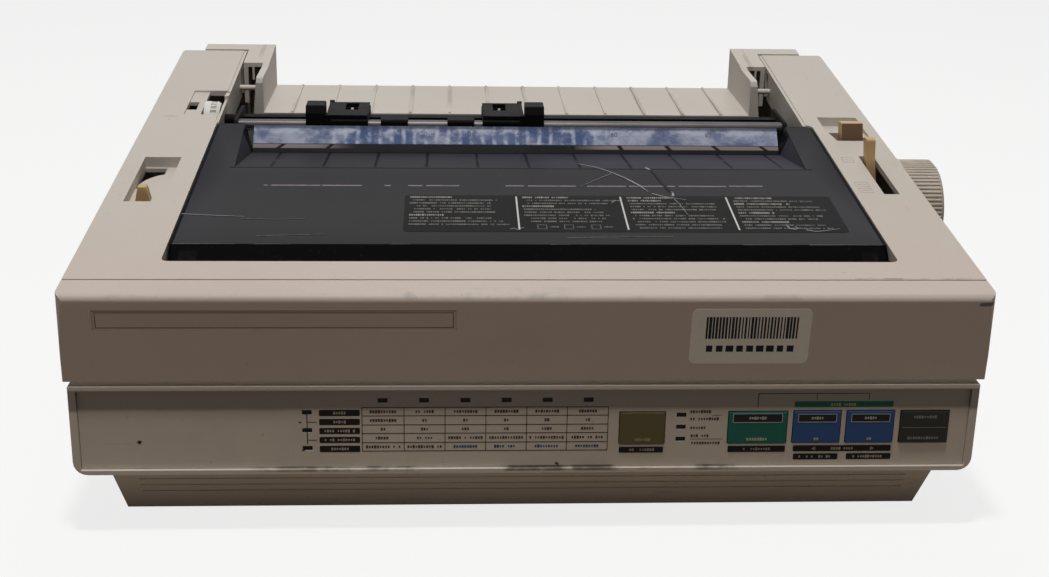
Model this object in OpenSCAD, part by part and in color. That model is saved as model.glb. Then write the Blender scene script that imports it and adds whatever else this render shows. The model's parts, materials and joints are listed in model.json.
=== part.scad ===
// Desktop dot matrix printer with a smoked front cover, push tractors and a lift-up paper guide.
// X runs to the right, Y to the back and Z up. Modules work from the middle of the case's width and
// from its front edge; seat() then moves each piece so that the origin lies under the whole printer.

/* [Case] */
// Width of the case
body_w = 390; // [380:1:420]
// Depth of the upper case
body_d = 328; // [325:0.5:331]
// Height of the top's front edge above the table
front_h = 111; // [108:0.5:116]
// Slope of the top towards the back, degrees
top_slope = 5.71; // [5.4:0.01:6.0]
// Thickness of the upper case's walls
case_wall = 3; // [2.5:0.1:3.4]
// Height of the seam between the upper and the lower case
seam_z = 71; // [69:0.5:72]
// How far the front leans back at the seam
front_lean = 5; // [3:0.5:6]
// Radius of the case's upright corners
corner_r = 5; // [3:0.5:8]

/* [Lower case] */
// How far the lower case stands in from the upper case, each side
lower_inset = 1.7; // [1.5:0.1:2]
// Thickness of the lower case's walls
lower_wall = 3; // [2.6:0.1:3.2]
// Height of the underside of the lower case's broad upper part
band_z = 28; // [26:0.5:30]
// How far the base stands in from the lower case's sides
base_inset = 13.5; // [10:0.5:16]
// How much further in the base's bottom edge lies
base_taper = 4; // [2:0.5:6]
// Height of the dark seam recess under the upper case
seam_gap = 2.2; // [1.5:0.1:3]
// Radius of a rubber foot
foot_r = 9; // [7:0.5:11]
// Height of a rubber foot below the case
foot_h = 2; // [1.5:0.5:4]

/* [Front cover] */
// Half width of the front cover
cover_half_w = 158.8; // [157:0.1:159]
// How far the cover lies to the right of the middle
cover_shift = 2.1; // [1:0.1:2.4]
// Front edge of the cover's flat top
cover_front_y = 50; // [46:1:54]
// Distance from the cover's rear edge to the case's back
cover_to_back = 127.5; // [127:0.1:128]
// Gap round the cover
cover_gap = 0.8; // [0.6:0.1:1.2]
// Thickness of the cover's plastic
cover_t = 2.5; // [2:0.1:2.8]
// Depth of the cover's front face
cover_lip = 10; // [7:0.5:12]
// Depth from front to back of the cover's sunken trough
trough_run = 61.5; // [58.5:0.5:68.5]
// Depth of the trough at its lowest line
trough_depth = 11.6; // [9:0.1:11.8]
// Half width of the trough at its rim
trough_half_w = 144.6; // [142:0.1:145]
// How far each side of the trough leans in on its way down
trough_taper = 4.8; // [2:0.1:5.5]
// Thickness of the clear rule strip
strip_t = 2; // [1.5:0.1:2.4]

/* [Paper path] */
// Half distance between the towers
tower_half_w = 157; // [156.6:0.1:157.4]
// Height of the paper guide's floor
guide_floor_z = 119.5; // [118:0.5:120.5]
// Gap between the paper guide's side walls and the towers
guide_gap = 16; // [15.5:0.1:19]
// Distance from the paper guide's front edge to the case's back
guide_to_back = 59; // [57:0.5:62]
// How far the paper guide stands out behind the case
guide_overhang = 11; // [10:0.5:20]
// Distance between the guide's ribs
rib_pitch = 22.7; // [20:0.1:26]
// Radius of the bright rod that the tractors slide on
rod_r = 3; // [2.5:0.1:3.2]
// Width across the square drive shaft
square_w = 6; // [5.4:0.1:6.4]
// Width of a tractor
tractor_w = 33; // [30:0.5:36]

/* [Platen] */
// Radius of the platen roller
platen_r = 17.5; // [16:0.1:18.5]
// Distance from the platen's axis to the case's back
platen_to_back = 158; // [157:0.5:159]
// Height of the platen's axis
platen_z = 96; // [95:0.5:97]
// Radius of the platen knob
knob_r = 25.5; // [23:0.5:27]
// Outer end of the platen knob
knob_end_x = 220.5; // [217:0.5:224]
// Radius of the platen's shaft
shaft_r = 4; // [3.5:0.1:4.2]

/* [Gears] */
// Gear module
gear_m = 0.8; // [0.79:0.01:0.81]
// Teeth on the platen gear
platen_teeth = 40; // [40:1:42]
// Teeth on each idler gear
idler_teeth = 26; // [26:1:27]
// Teeth on the tractor shaft gear
tractor_teeth = 24; // [24:1:25]
// Teeth on the motor pinion
pinion_teeth = 12; // [12:1:14]

/* [Keys] */
// Height of the keys
key_h = 15; // [13:0.5:16]
// Travel of the keys
key_travel = 1.2; // [0.8:0.1:1.6]
// Gap round each key
key_gap = 0.35; // [0.25:0.05:0.5]

/* [Hidden] */
$fn = 48;

fit = 0.05;              // radial clearance of a running fit
seat_gap = 0.2;          // gap where a piece sits beside another
shell_beige = [0.80, 0.77, 0.73];
smoked = [0.24, 0.24, 0.26];
black = [0.10, 0.10, 0.11];
steel = [0.72, 0.73, 0.75];
tan_lever = [0.74, 0.62, 0.44];

half_w = body_w/2;
cover_rear_y = body_d - cover_to_back;
platen_y = body_d - platen_to_back;
guide_half_w = tower_half_w - guide_gap;
guide_front_y = body_d - guide_to_back;
guide_rear_y = body_d + guide_overhang;
slope = tan(top_slope);
frame_x = (knob_end_x - half_w)/2;
frame_y = guide_rear_y/2;

// Height of the sloping top above a point at depth y.
function deck(y) = front_h + y*slope;

function unit(v) = v/norm(v);
// Points that round one corner p, between its neighbours, with radius r.
function corner(before, p, after, r, steps = 5) = r == 0 ? [p] :
    let (u = unit(before - p), v = unit(after - p), half = acos(u*v)/2,
         c = p + unit(u + v)*r/sin(half), a = p + u*r/tan(half) - c, b = p + v*r/tan(half) - c,
         start = atan2(a.y, a.x), turn = (atan2(b.y, b.x) - start + 540)%360 - 180)
    [for (i = [0:steps]) c + r*[cos(start + turn*i/steps), sin(start + turn*i/steps)]];
// An outline whose corners are rounded with the radii given.
function rounded(points, radii) = let (n = len(points))
    [for (i = [0:n - 1]) each corner(points[(i + n - 1)%n], points[i], points[(i + 1)%n], radii[i])];
function rectangle(x0, x1, y0, y1) = [[x0, y0], [x1, y0], [x1, y1], [x0, y1]];
// Centre of a wheel that touches two others: radius sums ra and rb from centres a and b.
function meet(a, ra, b, rb) = let (d = norm(b - a), along = (ra*ra - rb*rb + d*d)/(2*d),
    off = sqrt(ra*ra - along*along), u = (b - a)/d) a + u*along + off*[u.y, -u.x];
function angle_to(a, b) = atan2(b.y - a.y, b.x - a.x);
// Turn of gear b, in mesh with gear a that stands at turn ta.
function mesh_turn(a, ta, na, b, nb) = let (line = angle_to(a, b)) line + 180 - 180/nb + (line - ta)*na/nb;

module seat() translate([-frame_x, -frame_y, 0]) children();
module along_x(x0, x1) translate([x0, 0, 0]) rotate([90, 0, 90]) linear_extrude(x1 - x0) children();
module along_y(y0, y1) translate([0, y1, 0]) rotate([90, 0, 0]) linear_extrude(y1 - y0) children();
module box(x0, x1, y0, y1, z0, z1) translate([x0, y0, z0]) cube([x1 - x0, y1 - y0, z1 - z0]);
module rod_x(x0, x1, y, z, r) translate([x0, y, z]) rotate([0, 90, 0]) cylinder(r = r, h = x1 - x0);
module rod_z(x, y, z0, z1, r) translate([x, y, z0]) cylinder(r = r, h = z1 - z0);
// A slab that follows the sloping top, between two depths below it.
module deck_slab(x0, x1, y0, y1, top, bottom) along_x(x0, x1)
    polygon([[y0, deck(y0) - bottom], [y1, deck(y1) - bottom], [y1, deck(y1) - top], [y0, deck(y0) - top]]);
// Children stand on the sloping top at x, y, with their own z square to it.
module on_deck(x, y, depth = 0)
    translate([x, y, deck(y)]) rotate([top_slope, 0, 0]) translate([0, 0, -depth]) children();

// ---------------------------------------------------------------- cover opening and its sizes
opening_half_w = cover_half_w + cover_gap;
opening_l = cover_shift - opening_half_w;
opening_r = cover_shift + opening_half_w;
opening_front_y = 33;
well_wall = 2;
well_depth = 16;
edge_step = 1.7;
hinge_y = cover_rear_y - 3.2;
hinge_z = deck(hinge_y) - 4;
hinge_pin_r = 2;
hinge_boss_r = 3.8;
hinge_relief = 2.6;        // space behind the cover for its rear edge to swing through

// ---------------------------------------------------------------- recesses in the top
dial_x = -163.5;          // dial lever's pivot
dial_y = platen_y - 51.3;
dial_r = 18;             // radius at which its knob stands
dial_rest = 208;         // where its knob stands at rest, degrees round the pivot
pocket_x0 = -185.8;
pocket_x1 = -168;
pocket_y0 = dial_y - 22.1;
pocket_y1 = dial_y + 33.3;
pocket_depth = 5.5;
pocket_floor = 2;

feed_x0 = 167.5;         // sloping recess of the feed lever
feed_x1 = 189;
feed_y0 = platen_y + 11;
feed_y1 = platen_y + 45.5;
feed_depth = 5;
feed_slot_x0 = 170.2;
feed_slot_x1 = 186;
feed_slot_y0 = platen_y + 10;
feed_slot_y1 = platen_y + 28.5;
feed_pivot = [platen_y + 18, 92];
feed_lever_x = 179.3;
feed_lever_w = 11.5;

release_slot_x0 = 175.9; // long slot of the release lever
release_slot_x1 = 183.6;
release_slot_y0 = platen_y - 61.5;
release_slot_y1 = platen_y - 12;
release_pivot = [platen_y - 39, 74];
release_lever_x = 179.6;
release_lever_w = 4.6;
release_top_z = 138;

gear_hole_x0 = -168.4;   // opening over the tractor gear
gear_hole_y0 = platen_y + 44;
gear_hole_y1 = platen_y + 82.5;
ledge_x0 = -177;         // lowered ledge beside it, with a square hole
ledge_hole_x1 = -171.8;

stud_r = 3;              // studs that the levers and idlers turn on

// ---------------------------------------------------------------- shafts and frames
frame_x0 = 147.6;        // inner face of a side frame
frame_t = 1.6;
rod_y = platen_y + 43;
rod_z = 127.2;
square_y = platen_y + 58;
square_z = 125.5;
journal_r = 3.4;         // round ends of the square shaft
frame_y0 = platen_y - 112;
frame_y1 = platen_y + 82;
platen = [platen_y, platen_z];
square = [square_y, square_z];
platen_end_x = 140;
gear_x0 = -163.8;        // the gear train's plane
gear_w = 3;
platen_pitch_r = gear_m*platen_teeth/2;
idler_pitch_r = gear_m*idler_teeth/2;
tractor_pitch_r = gear_m*tractor_teeth/2;
pinion_pitch_r = gear_m*pinion_teeth/2;
idler_a = let (reach = platen_pitch_r + idler_pitch_r, a = angle_to(platen, square) - 4)
    platen + reach*[cos(a), sin(a)];
idler_b = meet(idler_a, 2*idler_pitch_r, square, idler_pitch_r + tractor_pitch_r);
pinion = platen + (platen_pitch_r + pinion_pitch_r)*[cos(-115), sin(-115)];
platen_turn = 0;
idler_a_turn = mesh_turn(platen, platen_turn, platen_teeth, idler_a, idler_teeth);
idler_b_turn = mesh_turn(idler_a, idler_a_turn, idler_teeth, idler_b, idler_teeth);
square_turn = mesh_turn(idler_b, idler_b_turn, idler_teeth, square, tractor_teeth);
pinion_turn = mesh_turn(platen, platen_turn, platen_teeth, pinion, pinion_teeth);

front_rod = [platen_y - 62, 66]; // carriage rods
back_rod = [platen_y - 32, 60];
carriage_rod_r = 4;
pulley_r = 6;
belt_y = platen_y - 78;
belt_z = 70;
pulley_x = 128;
carriage_x = -100;       // carriage at rest, at the left end of its travel

// ---------------------------------------------------------------- case screws, inside the case
boss_r = 5;
screw_r = 2;
boss_x = half_w - lower_inset - lower_wall - boss_r + 1;
boss_ys = [24, body_d - 14];

// ================================================================ case
module case_side(inset, z0)
    polygon(rounded([[front_lean + inset, z0], [inset, deck(inset) - inset],
                     [body_d - inset, deck(body_d - inset) - inset], [body_d - inset, z0]],
                    [0, inset > 0 ? 1 : 3, inset > 0 ? 0 : 2, 0]));

module case_plan(inset, z0, z1) translate([0, 0, z0]) linear_extrude(z1 - z0)
    polygon(rounded(rectangle(-half_w + inset, half_w - inset, inset, body_d - inset),
                    [for (i = [0:3]) max(corner_r - inset, 1)]));

module case_screw_axes() for (sx = [-1, 1], y = boss_ys) translate([sx*boss_x, y, 0]) children();

// Inner wall of a tower, below its fine step.
module tower_wall(x, y0, y1) deck_slab(x, x + case_wall, y0, y1, 0.6, tower_wall_depth);

module upper_case() color(shell_beige) seat() difference() {
    union() {
        difference() {
            intersection() {
                along_x(-half_w, half_w) case_side(0, seam_z);
                case_plan(0, seam_z - 1, deck(body_d) + 5);
            }
            intersection() {
                along_x(-half_w, half_w) case_side(case_wall, seam_z - 1);
                case_plan(case_wall, seam_z - 2, deck(body_d));
            }
            // opening for the cover, and the open space between the towers
            translate([0, 0, seam_z]) linear_extrude(deck(body_d)) polygon(rounded(
                rectangle(opening_l, opening_r, opening_front_y, cover_rear_y + hinge_relief),
                    [3, 3, 4, 0]));
            box(-tower_half_w, tower_half_w, cover_rear_y, body_d + 1,
                guide_floor_z - 6, deck(body_d) + 5);
            box(-tower_half_w, tower_half_w, cover_rear_y, body_d - case_wall, seam_z, deck(body_d));
            // opening over the tractor gear, and the ledge beside it
            box(gear_hole_x0, -tower_half_w + 1, gear_hole_y0, gear_hole_y1, seam_z, deck(body_d));
            deck_slab(ledge_x0, gear_hole_x0 + 1, gear_hole_y0, gear_hole_y1, -1, 1);
            box(ledge_x0, ledge_hole_x1, gear_hole_y0 + 10, gear_hole_y0 + 22, seam_z, deck(body_d));
            // fine step along the towers' inner edges
            for (x = [-tower_half_w - edge_step, tower_half_w - 1])
                deck_slab(x, x + edge_step + 1, cover_rear_y, body_d + 1, -1, 0.6);
        }
        // walls down both sides and across the front of the cover's opening
        for (x = [opening_l - well_wall, opening_r])
            deck_slab(x, x + well_wall, opening_front_y - well_wall, cover_rear_y + hinge_relief, 0,
                well_depth);
        deck_slab(opening_l, opening_r, opening_front_y - well_wall, opening_front_y, 0, well_depth);
        // inner walls of the towers
        tower_wall(tower_half_w, cover_rear_y + hinge_relief, tower_slot_y0);
        tower_wall(tower_half_w, tower_slot_y1, body_d - 1);
        tower_wall(-tower_half_w - case_wall, gear_hole_y1, tower_slot_y0);
        tower_wall(-tower_half_w - case_wall, tower_slot_y1, body_d - 1);
        // thin wall beside the tractor gear, ending in a post
        deck_slab(-tower_half_w - 1.4, -tower_half_w, cover_rear_y + hinge_relief, square_y + 18, 0.6, 12);
        box(-tower_half_w - 1.6, -tower_half_w + 0.6, square_y + 11, square_y + 19, 122,
            deck(square_y) + 2.6);
        // the cover's hinge bosses
        for (x = [opening_l - 4, opening_r]) rod_x(x, x + 4, hinge_y, hinge_z, hinge_boss_r);
        // sunken pocket of the dial lever, with its pivot boss
        deck_slab(pocket_x0 - 2, pocket_x1 + 2, pocket_y0 - 2, pocket_y1 + 2, 0.5,
            pocket_depth + pocket_floor);
        on_deck(dial_x, dial_y, pocket_depth + pocket_floor) cylinder(r = 3.4, h = pocket_depth);
        on_deck(dial_x, dial_y, dial_stud_depth) cylinder(r = 1.8, h = dial_stud_depth - 1);
        // sloping recess of the feed lever
        deck_slab(feed_x0 - 2, feed_x1 + 2, feed_y0 - 1, feed_y1 + 2, 0.5, feed_depth + 3);
        // screw columns
        for (sx = [-1, 1], y = boss_ys) rod_z(sx*boss_x, y, seam_z, deck(y) - 1, boss_r - 0.6);
    }
    deck_slab(pocket_x0, pocket_x1, pocket_y0, pocket_y1, -3, pocket_depth);
    // slot of the dial's stem, and the crescent beyond it
    on_deck(dial_x, dial_y, pocket_depth + 4) linear_extrude(6) intersection() {
        difference() { circle(r = dial_r + 1.1); circle(r = dial_r - 1.1); }
        polygon([[0, 0], for (a = [158, 180, 200, dial_rest + 9]) 30*[cos(a), sin(a)]]);
    }
    difference() {
        deck_slab(pocket_x0, -175, dial_y + 6.5, pocket_y1 - 1.2, pocket_depth - 1, pocket_depth + 4);
        on_deck(dial_x - 3, dial_y + 7.3, pocket_depth + 8) cylinder(r = 18.8, h = 20);
    }
    along_x(feed_x0, feed_x1) polygon([[feed_y0, deck(feed_y0) + 0.01],
        [feed_y1, deck(feed_y1) - feed_depth],
        [feed_y1, deck(feed_y1) + 4], [feed_y0, deck(feed_y0) + 4]]);
    box(feed_slot_x0, feed_slot_x1, feed_slot_y0, feed_slot_y1, seam_z, deck(body_d));
    box(release_slot_x0, release_slot_x1, release_slot_y0, release_slot_y1, seam_z + 10, deck(body_d));
    for (x = [opening_l - 4.1, opening_r - 5]) rod_x(x, x + 9.1, hinge_y, hinge_z, hinge_pin_r + fit);
    for (side = [-1, 1]) rod_x(side*(tower_half_w + 2) - 2.5, side*(tower_half_w + 2) + 2.5,
                               guide_hinge.x, guide_hinge.y, guide_pin_r + fit);
    // notch for the tractor shaft in the thin wall
    rod_x(-tower_half_w - 2, -tower_half_w + 1, square_y, square_z, journal_r + 0.4);
    box(-tower_half_w - 2, -tower_half_w + 1, square_y - journal_r - 0.4, square_y + journal_r + 0.4,
        square_z - 8, square_z);
    rod_x(half_w - case_wall - 1, half_w + 1, platen_y, platen_z, shaft_r + 5);
    case_screw_axes() translate([0, 0, seam_z - 1]) cylinder(r = screw_r, h = 12);
    // name plate recess in the front, and a groove across the top
    along_x(-180.5, -31.5) polygon([[-5, 95.2], [front_face(95.2) + 0.6, 95.2],
                                    [front_face(104.5) + 0.6, 104.5], [-5, 104.5]]);
    deck_slab(-half_w - 1, half_w + 1, 14.9, 15.9, -1, 0.6);
}
// Y of the leaning front face at a height.
function front_face(z) = front_lean*(front_h - z)/(front_h - seam_z);

tower_wall_depth = 18.4;
tower_slot_y0 = body_d - 31.5; // slot in a tower's inner wall
tower_slot_y1 = body_d - 24.5;
guide_hinge = [guide_front_y + 22, 129];
guide_pin_r = 1.6;
dial_stud_depth = pocket_depth + pocket_floor + 4.5;

// ---------------------------------------------------------------- lower case
band_half_w = half_w - lower_inset;
band_front_y = 4.4;
band_rear_y = body_d - lower_inset;
base_half_w = band_half_w - base_inset;
base_bottom_z = foot_h;
base_front_y = 9;
base_front_slope = 15;   // how far the base's front leans back at the bottom
base_rear_y = band_rear_y - 8;
panel_x = 190.2;         // half width of the opening for the control panel
panel_z0 = 30;
panel_z1 = 66.6;
panel_y = 6;             // face of the control panel
panel_t = 2.5;
panel_ledge = 5;         // how far the ledge behind the panel reaches in

module base_profile(inset) polygon([[base_front_y + inset, band_z + (inset > 0 ? lower_wall + 1 : 1)],
    [base_front_y + base_front_slope + inset, base_bottom_z + inset],
        [base_rear_y - inset, base_bottom_z + inset],
    [base_rear_y - inset, band_z + (inset > 0 ? lower_wall + 1 : 1)]]);
module base_front(inset) polygon([[-base_half_w + inset, band_z + 5],
    [-base_half_w + base_taper + inset, 0],
    [base_half_w - base_taper - inset, 0], [base_half_w - inset, band_z + 5]]);
module band_front(inset) polygon(rounded(rectangle(-band_half_w + inset, band_half_w - inset,
    band_z + inset,
    seam_z + (inset > 0 ? 1 : 0)), [max(6 - inset, 1), max(6 - inset, 1), 0, 0]));

module lower_case() color(shell_beige) seat() difference() {
    union() {
        difference() {
            union() {
                along_y(band_front_y, band_rear_y) band_front(0);
                intersection() {
                    along_x(-half_w, half_w) base_profile(0);
                    along_y(0, body_d) base_front(0);
                }
            }
            along_y(band_front_y + 5.5, band_rear_y - lower_wall) band_front(lower_wall);
            intersection() {
                along_x(-half_w, half_w) base_profile(lower_wall);
                along_y(0, body_d) base_front(lower_wall);
            }
            // seam recess under the upper case
            difference() {
                box(-half_w, half_w, 0, body_d, seam_z - seam_gap, seam_z + 1);
                box(-band_half_w + 1.4, band_half_w - 1.4, band_front_y + 2.4, band_rear_y - 1.4,
                    seam_z - seam_gap - 1, seam_z + 1);
            }
            // pocket for the control panel, and the window behind it
            box(-panel_x, panel_x, 0, panel_y + panel_t, panel_z0, panel_z1);
            box(-panel_x + panel_ledge, panel_x - panel_ledge, 0, band_front_y + 6,
                panel_z0 + panel_ledge, panel_z1 - 3);
        }
        case_screw_axes() cylinder_between(band_z + 0.5, seam_z, boss_r);
        // pads that carry the side frames
        for (side = [-1, 1], y = frame_foot_ys) box(side*frame_mid - 6, side*frame_mid + 6, y - 12, y + 12,
                                                base_bottom_z + 1, frame_foot_z);
        // stand-offs of the main board and of the transformer
        for (p = board_posts) rod_z(p.x, p.y, base_bottom_z + 1, board_z, 3.5);
    }
    case_screw_axes() cylinder_between(band_z - 1, seam_z + 1, screw_r + 0.3);
    case_screw_axes() cylinder_between(band_z - 1, screw_seat_z, screw_head_r + 0.2);
    // three grooves along the base's front
    for (z = [12.9, 17, 21.1]) box(-base_half_w + 12, base_half_w - 12, 0,
                                   base_front_y + base_front_slope*(band_z - z)/(band_z - base_bottom_z)
                                       + 1, z, z + 1);
    // mains inlet, interface port and power switch
    box(inlet_x - inlet_w/2, inlet_x + inlet_w/2, band_rear_y - lower_wall - 1, band_rear_y + 1,
        inlet_z - inlet_h/2, inlet_z + inlet_h/2);
    box(port_x - port_w/2, port_x + port_w/2, band_rear_y - lower_wall - 1, band_rear_y + 1,
        port_z - port_h/2, port_z + port_h/2);
    box(band_half_w - lower_wall - 1, band_half_w + 1, switch_y - switch_d/2, switch_y + switch_d/2,
        switch_z - switch_h/2, switch_z + switch_h/2);
    // cooling slots low in the back
    for (i = [0:11]) box(60 + i*7, 63 + i*7, base_rear_y - lower_wall - 1, base_rear_y + 1, 9, 23);
}
module cylinder_between(z0, z1, r) translate([0, 0, z0]) cylinder(r = r, h = z1 - z0);

frame_mid = frame_x0 + frame_t/2;
frame_foot_z = 14;
frame_foot_ys = [frame_y0 + 12, frame_y1 - 12];
screw_head_r = 4;
screw_seat_z = band_z + 6;
board_z = 11;
board_y0 = 52;
board_y1 = platen_y + 68;
board_posts = [for (x = [-120, -20], y = [board_y0 + 8, board_y1 - 8]) [x, y]];
inlet_x = -130;
inlet_z = 50;
inlet_w = 27;
inlet_h = 20;
port_x = 90;
port_z = 50;
port_w = 60;
port_h = 16;
switch_y = body_d - 36;
switch_z = 50;
switch_d = 21;
switch_h = 15;

module rubber_feet() color(black) seat() for (sx = [-1, 1], y = [48, body_d - 41])
    translate([sx*(base_half_w - base_taper - 22), y, 0]) cylinder(r = foot_r, h = foot_h);

module case_screws() color(steel) seat() case_screw_axes() {
    cylinder_between(screw_seat_z, seam_z + 9, screw_r - fit);
    difference() {
        cylinder_between(screw_seat_z - 2.4, screw_seat_z, screw_head_r);
        for (turn = [0, 90]) rotate(turn) translate([-2.4, -0.5, screw_seat_z - 3]) cube([4.8, 1, 1.8]);
    }
}

// ================================================================ control panel
// Each key: left edge, right edge, bottom.
olive = [38.6, 58, 40.7];
green = [85.6, 111, 40.8];
blue_l = [113.8, 134.3, 41];
blue_r = [137, 157.6, 41];
grey = [160.6, 181.6, 40.9];
keys = [olive, green, blue_l, blue_r, grey];
lamp_w = 4.2;
lamp_h = 2.1;
lamps = concat([for (i = [0:5]) [-62.6 + i*17.5, 61.6]],
               [for (i = [0:2]) [-94.6, 56.2 - i*8.4]], [for (i = [0:2]) [65.1, 54.3 - i*5.7]]);
board_y = 16;

module control_panel() color([0.50, 0.47, 0.43]) seat() difference() {
    union() {
        box(-panel_x + seat_gap, panel_x - seat_gap, panel_y, panel_y + panel_t, panel_z0 + seat_gap,
            panel_z1 - seat_gap);
        for (x = [-100, 20, 74, 185.5 - panel_ledge - 2]) box(x - 2, x + 2, panel_y + 1, board_y, 35.5,
            39.5);
    }
    for (k = keys) box(k.x - key_gap, k.y + key_gap, 0, board_y, k.z - key_gap, k.z + key_h + key_gap);
    for (p = lamps) box(p.x - lamp_w/2, p.x + lamp_w/2, 0, board_y, p.y - lamp_h/2, p.y + lamp_h/2);
}
module panel_board() color([0.10, 0.35, 0.20]) seat()
    box(-panel_x + panel_ledge + 3, panel_x - panel_ledge - 3, board_y, board_y + 1.6, 35.5, 62.5);
module indicator_lamps() color([0.35, 0.08, 0.06]) seat() for (p = lamps)
    box(p.x - lamp_w/2 + fit, p.x + lamp_w/2 - fit, panel_y + 0.4, board_y, p.y - lamp_h/2 + fit,
        p.y + lamp_h/2 - fit);
module key(k, paint) color(paint) seat() {
    box(k.x, k.y, panel_y - 0.7, panel_y + panel_t + 0.6, k.z, k.z + key_h);
    box(k.x - 1, k.y + 1, panel_y + panel_t + 0.3, panel_y + panel_t + 1.8, k.z - 1, k.z + key_h + 1);
    box((k.x + k.y)/2 - 2, (k.x + k.y)/2 + 2, panel_y + panel_t + 1, board_y - key_travel - 0.3,
        k.z + key_h/2 - 2, k.z + key_h/2 + 2);
}
module olive_key() key(olive, [0.36, 0.32, 0.20]);
module green_key() key(green, [0.05, 0.32, 0.27]);
module left_blue_key() key(blue_l, [0.12, 0.25, 0.50]);
module right_blue_key() key(blue_r, [0.12, 0.25, 0.50]);
module grey_key() key(grey, [0.17, 0.17, 0.16]);

// ================================================================ front cover
cover_l = cover_shift - cover_half_w;
cover_r = cover_shift + cover_half_w;
cover_lip_run = 11.5;    // how far the sloping front face comes forward
skirt_depth = 7;
skirt_t = 2;
trough_front_y = cover_rear_y - trough_run;
trough_l = cover_shift - trough_half_w;
trough_r = cover_shift + trough_half_w;
strip_l = trough_l + trough_taper;
strip_r = trough_r - trough_taper;
valley_y = cover_rear_y - 10.5;
valley_z = deck(valley_y) - trough_depth;
valley = [valley_y, valley_z];
rim_z = deck(cover_rear_y);
strip_top = [cover_rear_y - 0.6, rim_z - 0.8];    // a little under the cover's rear edge
strip_lean = unit([strip_top.x - valley_y, strip_top.y - valley_z]);
strip_back = strip_t*[strip_lean.y, -strip_lean.x];
pin_reach = cover_gap + 3.2;
lug_w = 3;

module front_cover() color(smoked) seat() difference() {
    union() {
        intersection() {
            union() {
                deck_slab(cover_l, cover_r, cover_front_y, cover_rear_y, 0, cover_t);
                for (x = [cover_l, cover_r - skirt_t])
                    deck_slab(x, x + skirt_t, cover_front_y, cover_rear_y - 12, cover_t - 0.5, skirt_depth);
                for (x = [cover_l, cover_r - lug_w]) along_x(x, x + lug_w)
                    polygon([[cover_rear_y - 14, deck(cover_rear_y - 14) - 1], [hinge_y - 3, hinge_z - 4],
                             [hinge_y + 3, hinge_z - 4], [hinge_y + 3, deck(hinge_y) - 1]]);
            }
            linear_extrude(deck(body_d)) polygon(rounded(
                rectangle(cover_l, cover_r, cover_front_y, cover_rear_y), [0, 0, 4, 3]));
        }
        // sloping front face with its lip
        along_x(cover_l, cover_r) polygon([[cover_front_y, deck(cover_front_y)],
            [cover_front_y - cover_lip_run, deck(cover_front_y - cover_lip_run) - cover_lip],
            [cover_front_y - cover_lip_run + 2.6, deck(cover_front_y - cover_lip_run) - cover_lip],
            [cover_front_y + 1.5, deck(cover_front_y) - cover_t]]);
        // sunken trough
        along_x(trough_l - cover_t, trough_r + cover_t) polygon([
            [trough_front_y - 6, deck(trough_front_y - 6) - 1], [valley_y - 0.5, valley_z - cover_t],
            [valley_y + strip_back.x, valley_z + strip_back.y], [cover_rear_y, deck(cover_rear_y) - 1]]);
        rod_x(cover_l - pin_reach, cover_l + 1, hinge_y, hinge_z, hinge_pin_r);
        rod_x(cover_r - 1, cover_r + pin_reach, hinge_y, hinge_z, hinge_pin_r);
    }
    // the trough's inside between its leaning sides, down to the seat of the clear strip
    intersection() {
        along_x(trough_l, trough_r) polygon([
            [trough_front_y, deck(trough_front_y)], valley, valley + strip_back,
            strip_top + strip_back + [3, 0], strip_top + [3, 9],
            [trough_front_y, deck(trough_front_y) + 9]]);
        along_y(trough_front_y - 14, cover_rear_y + 6)
            polygon([[strip_l, valley_z - 6], [strip_l, valley_z], [trough_l, rim_z], [trough_l, rim_z + 9],
                     [trough_r, rim_z + 9], [trough_r, rim_z], [strip_r, valley_z], [strip_r, valley_z - 6]]);
    }
    // hollow behind the strip
    along_x(strip_l + 3, strip_r - 3) polygon([
        [valley_y + 2, valley_z - 6], valley + strip_back,
        strip_top + strip_back + [3, 0], [cover_rear_y + 6, valley_z - 6]]);
}
module rule_strip() color([0.62, 0.66, 0.74, 0.5]) seat() along_x(strip_l, strip_r)
    polygon([valley, valley + strip_back, strip_top + strip_back, strip_top]);

// ================================================================ paper guide
guide_wall = 3.5;
guide_t = 2.5;
guide_wall_foot = 6;     // the side wall is thicker at its foot
guide_wall_top = 140;    // height of its front corner
ear_drop = 38;           // height of the ear
shoulder_front_y = body_d - 25;
shoulder_w = guide_gap - 0.8;
ear_front_y = body_d + 0.7;
ear_half_w = guide_half_w + 41.5;
rib_h = 0.8;
guide_floor_b = guide_floor_z - guide_t;

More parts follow.
